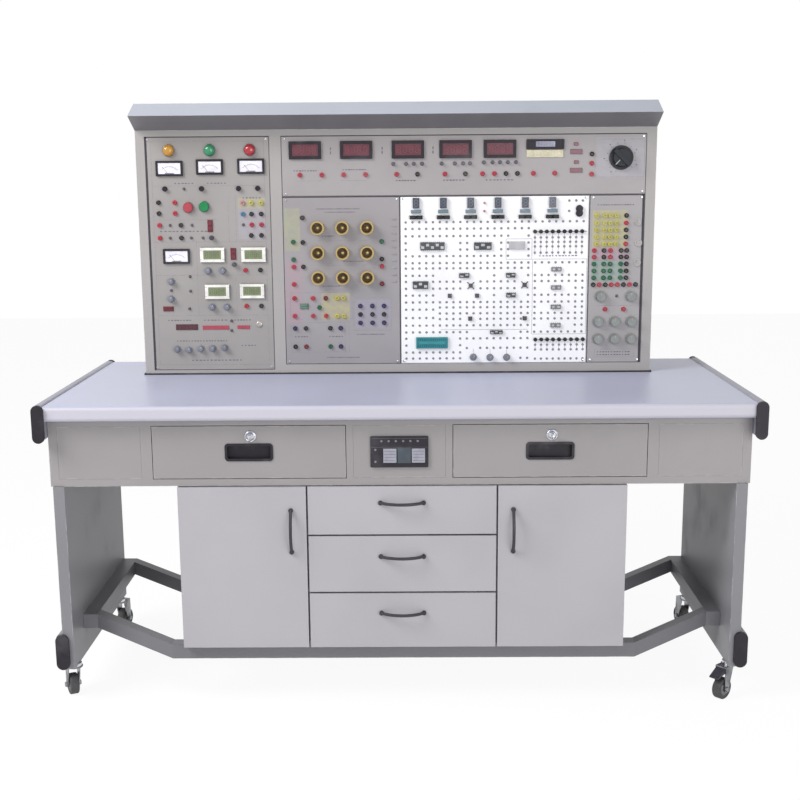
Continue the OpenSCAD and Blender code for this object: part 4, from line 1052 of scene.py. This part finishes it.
# %% Eyelets
PITCH = 16.85
FIRST_COLUMN = 14.0
RUNS = [(64, (0, 26)), (80, (0, 18)), (98, (0, 15), (18, 18)), (115, (0, 0), (8, 9), (14, 15), (18, 18)),
        (131, (0, 0), (8, 9), (14, 15), (18, 18)), (147, (0, 15), (18, 18)), (164, (0, 26)), (177, (0, 18)),
        (195, (0, 4), (13, 13), (18, 26)), (210, (0, 0), (4, 8), (11, 16), (19, 26)),
        (227, (0, 0), (4, 8), (11, 16), (19, 19), (25, 26)), (244, (0, 4), (13, 13), (18, 26)),
        (261, (0, 26)), (274, (5, 19), (25, 26)), (279, (0, 4)), (289, (5, 26)), (300, (0, 4)),
        (303, (5, 8), (11, 17), (19, 26)), (319, (0, 19), (25, 26)), (336, (0, 9), (17, 26)),
        (352, (0, 0), (8, 18)), (369, (0, 0), (8, 8)), (376, (9, 9), (11, 18)), (387, (0, 8)),
        (402, (0, 8), (17, 18))]
eyelets = [(FIRST_COLUMN + PITCH * k, down) for down, *runs in RUNS for first, last in runs
           for k in range(first, last + 1)]
KEY_ROWS = ((333, 14.5, 88.5), (337, 14.9, 355.5))
UPPER_KEYS, LOWER_KEYS = [[(x + step * i, down) for i in range(9)] for x, step, down in KEY_ROWS]
eyelets += [(x, d) for x, _ in UPPER_KEYS for d in (103, 114, 125, 140)]
eyelets += [(x, d) for x, _ in LOWER_KEYS for d in (369, 381, 404)]
eyelets += [(416, 14), (433, 14), (449, 14), (416, 39)]
chip_spots = [(387, d) for d in (181, 226, 274, 320)]
CLEAR_X = 16
CLEAR_DOWN = 9
eyelets = [p for p in eyelets
           if all(abs(p[0] - x) > CLEAR_X or abs(p[1] - d) > CLEAR_DOWN for x, d in chip_spots)]
EYELET = [(3.3, 0), (2.9, 0.7), (1.6, 0.7), (1.4, 0.3)]
turned("board_eyelets", EYELET, 8, eyelets, plastic("eyelet_grey", "8B898E", 0.5), logic)
print("eyelets:", len(eyelets), "of", len(lathe(EYELET, 8)[1][0]) + 2, "faces each")

# %% [markdown]
# The chips are plates with a chamfer and a row of pins on each long side, and the dark ones have a notch at
# one end. The figures at the top, the bars under them and the teal zero-force socket are the same shape in
# other colours, so all of them come from lists of rectangles. The keys, the capsule and the small lamps are
# round, so a lathe makes them.

# %% Chips, keys and figures
def pins(x, down, w, h, pitch=5.0):
    """Two rows of pin plates along a chip's long sides."""
    xs = np.arange(x - w / 2 + pitch / 2, x + w / 2, pitch)
    return [(px, down + s * (h / 2 + 0.4), 1.6, 2.6) for px in xs for s in (-1, 1)]


DARK_CHIPS = [(80, 122.5, 60, 19), (204.5, 123, 43, 18), (159, 195, 25, 11), (274, 195, 23, 11),
              (275, 244, 23, 11), (50, 218, 38, 18), (239.5, 336.5, 31, 9)]
MARKS_ON_CHIPS = (5, 3, 2, 2, 2, 3, 3)
PALE_CHIP = (288.5, 122, 39, 18)
GREY_CHIPS = tiles(chip_spots, 25, 10)
CHIP_TOP = 6.0
pin_list = [pin for chip in DARK_CHIPS + GREY_CHIPS + [PALE_CHIP] for pin in pins(*chip)]
print_places = [(x - w / 2 + w * (k + 0.5) / n, d + 0.16 * h * (-1) ** k, 0.62 * w / n, 0.34 * h)
                for (x, d, w, h), n in zip(DARK_CHIPS, MARKS_ON_CHIPS) for k in range(n)]
print_places += [(x + s * 6.5, d, 6.5, 5.0) for x, d, _, _ in GREY_CHIPS for s in (-1, 1)]
notches = [(x - w / 2 + 3, d, 2.4, 3.4) for x, d, w, h in DARK_CHIPS]
FIGURES = [(40 + 67 * i, 17.5) for i in range(6)]
slates = [(x, 38, 25, 8) for x, _ in FIGURES]
bars = [(x + s * 8.2, 52, 15.5, 9) for x, _ in FIGURES for s in (-1, 1)]
TEAL_MIDDLE = (78.5, 362)
TEAL_TOP = 7.0
slots = [(44 + 5.3 * k, TEAL_MIDDLE[1] + s, 2.0, 3.4) for k in range(14) for s in (-8.0, 8.0)]
SQUARES = [(123, 245), (191, 245), (174, 302), (310, 302), (175, 220), (309, 219)]
REACH = 8.5
crosses = [(x + a * REACH, d + b * REACH, x, d) for x, d in SQUARES[4:]
           for a, b in ((-1, -1), (1, -1), (-1, 1), (1, 1))]
KEY = [(4.9, 0), (4.9, 4.6), (4.2, 5.8), (2.2, 6.0), (1.8, 7.6), (0.7, 8.0)]
CAPSULE = [(8.8, 0), (8.8, 5), (7.6, 6.6), (4.6, 7), (4.2, 6), (1, 6)]
BEAD = [(3.0, 0), (3.0, 2.4), (2.3, 4.2), (1.0, 5.0)]
chip_black = plastic("chip_epoxy", "43464A", 0.42)
key_black = plastic("key_black", "1B1B1E", 0.4)
parts = [
    pressed("chips_dark", DARK_CHIPS, (CHIP_TOP, 0.8), chip_black, logic),
    pressed("chips_grey", GREY_CHIPS, (CHIP_TOP, 0.8), plastic("chip_grey", "77767A", 0.42), logic),
    pressed("chip_pale", [PALE_CHIP], (5.0, 0.8), plastic("chip_pale", "B9B8BC", 0.4), logic),
    pressed("chip_pins", pin_list, (1.6, 0.2), metal("tinned_pin", "B4B4B6", 0.3), logic),
    pressed("chip_notches", notches, (0.2, 0.05, 5.9), plastic("notch_pale", "8E9296", 0.5), logic),
    pressed("figure_windows", tiles(FIGURES, 16.5, 25), (8.0, 0.6),
            plastic("figure_filter", "3D4250", 0.22, 0.5), logic),
    pressed("slate_bars", slates, (6.0, 0.8), plastic("slate_bar", "6F8290", 0.35), logic),
    pressed("black_bars", bars, (9.0, 1.4), plastic("bar_black", "14171B", 0.35), logic),
    turned("board_keys", KEY, 16, UPPER_KEYS + LOWER_KEYS, key_black, logic),
    pressed("teal_socket", [(*TEAL_MIDDLE, 79, 28)], (TEAL_TOP, 1.2),
            plastic("teal_plastic", "237C84", 0.36, 0.2), logic),
    pressed("board_squares", tiles(SQUARES, 10, 10), (5.0, 0.8),
            plastic("square_grey", "4A494D", 0.4), logic),
    turned("board_capsule", CAPSULE, 28, [(441, 33.5), (441, 44.5)], black, logic),
]
pressed("chip_prints", print_places, (0.25, 0.08, CHIP_TOP), plastic("chip_print", "B8BABB", 0.5), logic)
put("figure_bars", digits(FIGURES, 8.0, 15.0, 1.6, 8.0), plastic("figure_bar", "6A6F80", 0.3), logic)
(upper_x, upper_down), (lower_x, lower_down) = UPPER_KEYS[0], LOWER_KEYS[0]
rails = [(upper_x, upper_down, UPPER_KEYS[-1][0] + 12, upper_down),
         (lower_x, lower_down, LOWER_KEYS[-1][0], lower_down)]
put("key_rails", strokes(rails, 1.6, 0.8), grey_ink, logic)
# The socket's holes are painted shade: dark teal plates where the holes would be.
pressed("teal_slot_shades", slots, (0.15, 0.04, TEAL_TOP), plastic("slot_shade", "12494F", 0.5), logic)
pressed("teal_bridge", [(*TEAL_MIDDLE, 66, 7)], (1.4, 0.5, TEAL_TOP),
        plastic("teal_light", "3A8E95", 0.4), logic)
put("board_crosses", strokes(crosses, 2.2, 1.4), chip_black, logic)
small_red = plastic("small_red_lamp", "A9506A", 0.2, 0.8, 0.1)
turned("board_lamps", BEAD, 14, [(208, 18), (208, 38)], small_red, logic)
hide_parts("board_parts")
print("chips:", len(DARK_CHIPS + GREY_CHIPS) + 1, "pins:", len(pin_list))

# %% [markdown]
# ## Side marks, screws and the keypad
# A column of small resistors runs down the circuit panel, and slotted screws hold the corners of every
# panel. The keypad in the middle of the desk has six indicator dots above two grey label windows, and two
# more beside them.

# %% Small fittings
resistors = [(274, 56 + 17 * k, 11, 3.6) for k in range(10)]
pressed("side_resistors", resistors, (2.0, 0.9), plastic("resistor_grey", "A09CA1", 0.5), circuit)
SCREW = [(3.2, 0), (3.2, 0.8), (2.6, 1.6), (1.0, 1.9)]
screw_spots = []
for panel in corner_of:
    low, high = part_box(panel)
    w, h = (high.x - low.x) / MM, (high.z - low.z) / MM
    screw_spots += on_console(panel, [(x, d) for x in (8, w - 8) for d in (7, h - 6)])
turned("panel_screws", SCREW, 16, screw_spots, chrome, power)
# The slots in the screw heads are painted shade: dark bars on the heads.
screw_slot_shades = [(x - 1.8, d - 1.2, x + 1.8, d + 1.2) for x, d in screw_spots]
put("screw_slot_shades", strokes(screw_slot_shades, 0.7, 0.15, 1.8), shadow_ink, power)

key_low, key_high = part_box("keypad_module")
pad = np.array([(key_low.x + key_high.x) / 2, key_low.y + 0.002, (key_low.z + key_high.z) / 2])
INDICATORS = [(-39.5 + 16 * k, -24.5) for k in range(6)] + [(-53, -5), (-53, 22)]
DOT = [(2.6, 0), (2.6, 0.8), (1.8, 1.3), (0.8, 1.5)]
turned("keypad_dots", DOT, 16, INDICATORS, plastic("keypad_dot", "76737C", 0.35, 0.3), pad)
labels = tiles([(-21, 8), (42, 8)], 29, 32)
pressed("keypad_labels", labels, (0.4, 0.1, 2.0), plastic("label_grey", "9A9BA6", 0.4), pad)
pressed("keypad_middle", [(10.5, 8, 30, 35)], (1.0, 0.3), plastic("keypad_middle", "4A525A", 0.35), pad)
pad_rules = [(-62, d, 62, d) for d in (-10.5, -30.5)]
put("keypad_rules", strokes(pad_rules, 1.0), plastic("keypad_rule", "54505C"), pad)
pad_lines = [(x - 12, d, x + 12, d) for x in (-21, 42) for d in (-2, 5, 12, 19)]
put("keypad_keys", strokes(pad_lines, 1.2, 0.1, 2.4), plastic("key_line", "73737E", 0.4), pad)
print("screws:", len(screw_spots), "indicator dots:", len(INDICATORS))

# %% [markdown]
# ## The back and the casters' nuts
# The photograph doesn't show the back, but a console of this kind is cooled through rows of slots and closed
# with screws. The slots are not cut: the dark inside them is painted on the sheet as shade, in bars. The same
# strokes serve, turned half round to face the back. Each axle ends in a hexagon nut, a lathe with six sides,
# turned with its fork.

# %% Back slots and axle nuts
back = (foot_high.x, foot_high.y, foot_high.z)
SLOT_SHADES = [(x, d, x, d + 46) for x in np.arange(180, 1100, 14.0) if abs(x - 635) > 90 for d in (90, 430)]
# The cooling slots are painted shade: dark bars where the openings would be.
put("back_slot_shades", strokes(SLOT_SHADES, 5.0, 0.25), shadow_ink, back, spin=180.0)
BACK_SCREWS = [(x, d) for x in (14, 425, 845, 1256) for d in (14, 586)]
put("back_screws", copies(lathe(SCREW, 16), BACK_SCREWS), chrome, back, spin=180.0)
NUT = [(6.0, 0), (6.0, 3.6), (5.2, 4.2), (2.2, 4.4)]
FORK_HALF = 14.5
for corner, turn in CASTER_TURNS.items():
    for side, extra in (("a", 0), ("b", 180)):
        angle = math.radians(turn + extra)
        out = np.array([math.sin(angle), -math.cos(angle), 0.0]) * FORK_HALF * MM
        put(f"axle_nut_{corner}_{side}", lathe(NUT, 6), zinc, caster_centre(corner) + out,
            body_of_node["fork_" + corner], spin=turn + extra)
print("back slots:", len(SLOT_SHADES), "axle nuts:", 2 * len(CASTER_TURNS))

# %% [markdown]
# The side tubes of the base frame are closed with welded plates, because an open tube would fill with dust.
# Each desk lock sits in a plated rosette, a domed ring pressed against the drawer's front, which is what
# catches the light in the photograph.

# %% Tube plates and lock rosettes
TUBE = 34.0
BEAM_SWEEP = 75.0
base_low, base_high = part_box("base_frame")
beam_z = base_high.z - TUBE * MM / 2
# 76767B is the base frame's grey with its painted shade, darker than the enamel for the shade under the
# bench.
plate_paint = enamel("plate_enamel", "76767B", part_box("base_frame"))
for side in (-1, 1):
    beam_x = side * (base_high.x - TUBE * MM / 2)
    for name, y, spin in (("front", base_low.y + BEAM_SWEEP * MM, 0.0), ("back", base_high.y, 180.0)):
        put(f"tube_plate_{name}_{'left' if side < 0 else 'right'}", plates([(0, 0, TUBE, TUBE)], 1.5, 0.7),
            plate_paint, (beam_x, y, beam_z), spin=spin)
ROSETTE = [(13.2, 0), (13.2, 1.2), (12.2, 2.6), (10.8, 3.2), (9.9, 2.6), (9.9, 0.3)]
for side in ("left", "right"):
    low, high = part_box("lock_" + side)
    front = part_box("desk_drawer_" + side)[0].y
    where = ((low.x + high.x) / 2, front, (low.z + high.z) / 2)
    put("rosette_" + side, lathe(ROSETTE, 40), chrome, where, body_of_node["desk_drawer_" + side])
print("tube plates: 4, rosettes: 2")

# %% [markdown]
# ## Floor, background and light
# The photograph is cut out on white. The floor stays a real surface that keeps a soft shadow, but a ray
# straight from the camera, or a mirror ray, sees it mostly as white. The world does the same. The light is
# flat studio light: the world fills every side, a wide lamp from the upper left shapes the case, and a weak
# one from the right keeps its shadows open.

# %% Floor and world
FLOOR = 8.0
WHITE_SHARE = 0.9
FLOOR_WHITE = 1.03
WORLD_LIGHT = 0.42
floor_mesh = bpy.data.meshes.new("floor")
corners = [(-FLOOR, -FLOOR, 0), (FLOOR, -FLOOR, 0), (FLOOR, FLOOR, 0), (-FLOOR, FLOOR, 0)]
floor_mesh.from_pydata(corners, [], [(0, 1, 2, 3)])
floor = bpy.data.objects.new("floor", floor_mesh)
bpy.context.scene.collection.objects.link(floor)
floor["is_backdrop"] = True


def seen_straight(tree):
    """1 for a ray from the camera or one mirrored or passed by glass, 0 for the light of the room."""
    camera_ray = Value(tree).node("LightPath", {})
    rays = camera_ray.socket.node.outputs
    return camera_ray.most(Value(tree, rays["Is Glossy Ray"])).most(Value(tree, rays["Is Transmission Ray"]))


floor_paint = bpy.data.materials.new("pale_floor")
floor_paint.use_nodes = True
tree = floor_paint.node_tree
tree.nodes.remove(tree.nodes["Principled BSDF"])
place = Value(tree).node("TexCoord", {}, out=3)
matt = place.node("BsdfDiffuse", {"Color": place.noise(3.0).blend(colour("EFEFF0"), colour("F4F4F4"))})
white = place.node("Emission", {"Color": (1, 1, 1, 1), "Strength": FLOOR_WHITE})
mixed = place.node("MixShader", {0: seen_straight(tree) * WHITE_SHARE, 1: matt, 2: white})
tree.links.new(mixed.socket, tree.nodes["Material Output"].inputs["Surface"])
floor_mesh.materials.append(floor_paint)

world = bpy.data.worlds.new("studio")
world.use_nodes = True
bpy.context.scene.world = world
tree = world.node_tree
strength = WORLD_LIGHT + seen_straight(tree) * (1 - WORLD_LIGHT)
tree.links.new(strength.socket, tree.nodes["Background"].inputs["Strength"])
tree.nodes["Background"].inputs["Color"].default_value = (1, 1, 1, 1)
print("floor and world ready, world light", WORLD_LIGHT)

# %% Lamps
def lamp(name, place, aim, size, power):
    """A square area lamp at place whose light points at aim."""
    data = bpy.data.lights.new(name, "AREA")
    data.size = size
    data.energy = power
    made = bpy.data.objects.new(name, data)
    made.location = place
    made.rotation_euler = (Vector(aim) - Vector(place)).to_track_quat("-Z", "Y").to_euler()
    bpy.context.scene.collection.objects.link(made)
    return made


lamp("key", (-2.5, -1.7, 3.0), (-0.2, 0, 0.8), 1.8, 105)
lamp("fill", (1.8, -4.0, 1.2), (0.1, 0, 0.8), 2.2, 58)

# %% [markdown]
# ## Camera
# The camera was worked out from the photograph's edges: its place, its tilt and its lens. It looks slightly
# down from 1.2 m above the floor. Its axis doesn't pass through the middle of the picture, so the frame is
# shifted up by about a twentieth. The axes are built from the angles: ahead, right and up, at right angles.

# %% Camera
PHOTO_SIZE = 800
FOCAL = 1287.57
SHIFT_UP = 43.62
PLACE = np.array([28.9, -3100.1, 1188.9]) * MM
PITCH_DOWN, YAW, ROLL = map(math.radians, (11.775, 0.565, -0.435))
level = np.array([-math.sin(YAW), math.cos(YAW), 0.0])
ahead = level * math.cos(PITCH_DOWN) - np.array([0, 0, math.sin(PITCH_DOWN)])
right = np.array([math.cos(YAW), math.sin(YAW), 0.0])
upward = np.cross(right, ahead)
rolled_right = right * math.cos(ROLL) + upward * math.sin(ROLL)
rolled_up = upward * math.cos(ROLL) - right * math.sin(ROLL)
axes = np.eye(4)
axes[:3] = np.stack([rolled_right, rolled_up, -ahead, PLACE], axis=1)
lens = bpy.data.cameras.new("camera")
lens.sensor_width = 36.0
lens.lens = lens.sensor_width * FOCAL / PHOTO_SIZE
lens.shift_y = SHIFT_UP / PHOTO_SIZE
camera = bpy.data.objects.new("camera", lens)
bpy.context.scene.collection.objects.link(camera)
camera.matrix_world = Matrix(axes.tolist())
bpy.context.scene.camera = camera
bpy.context.scene.view_settings.view_transform = "Standard"
print("lens", round(lens.lens, 2), "mm")

# %% [markdown]
# ## Close
# Both boxes, the dressed bench's and the CAD model's, are compared, and how far the first grows past the
# second is printed.

# %% Sizes
seen_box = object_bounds()
growth = [max(cad_box[0][i] - seen_box[0][i], seen_box[1][i] - cad_box[1][i]) / MM for i in range(3)]
print("box grew by", [round(g, 2) for g in growth], "mm")
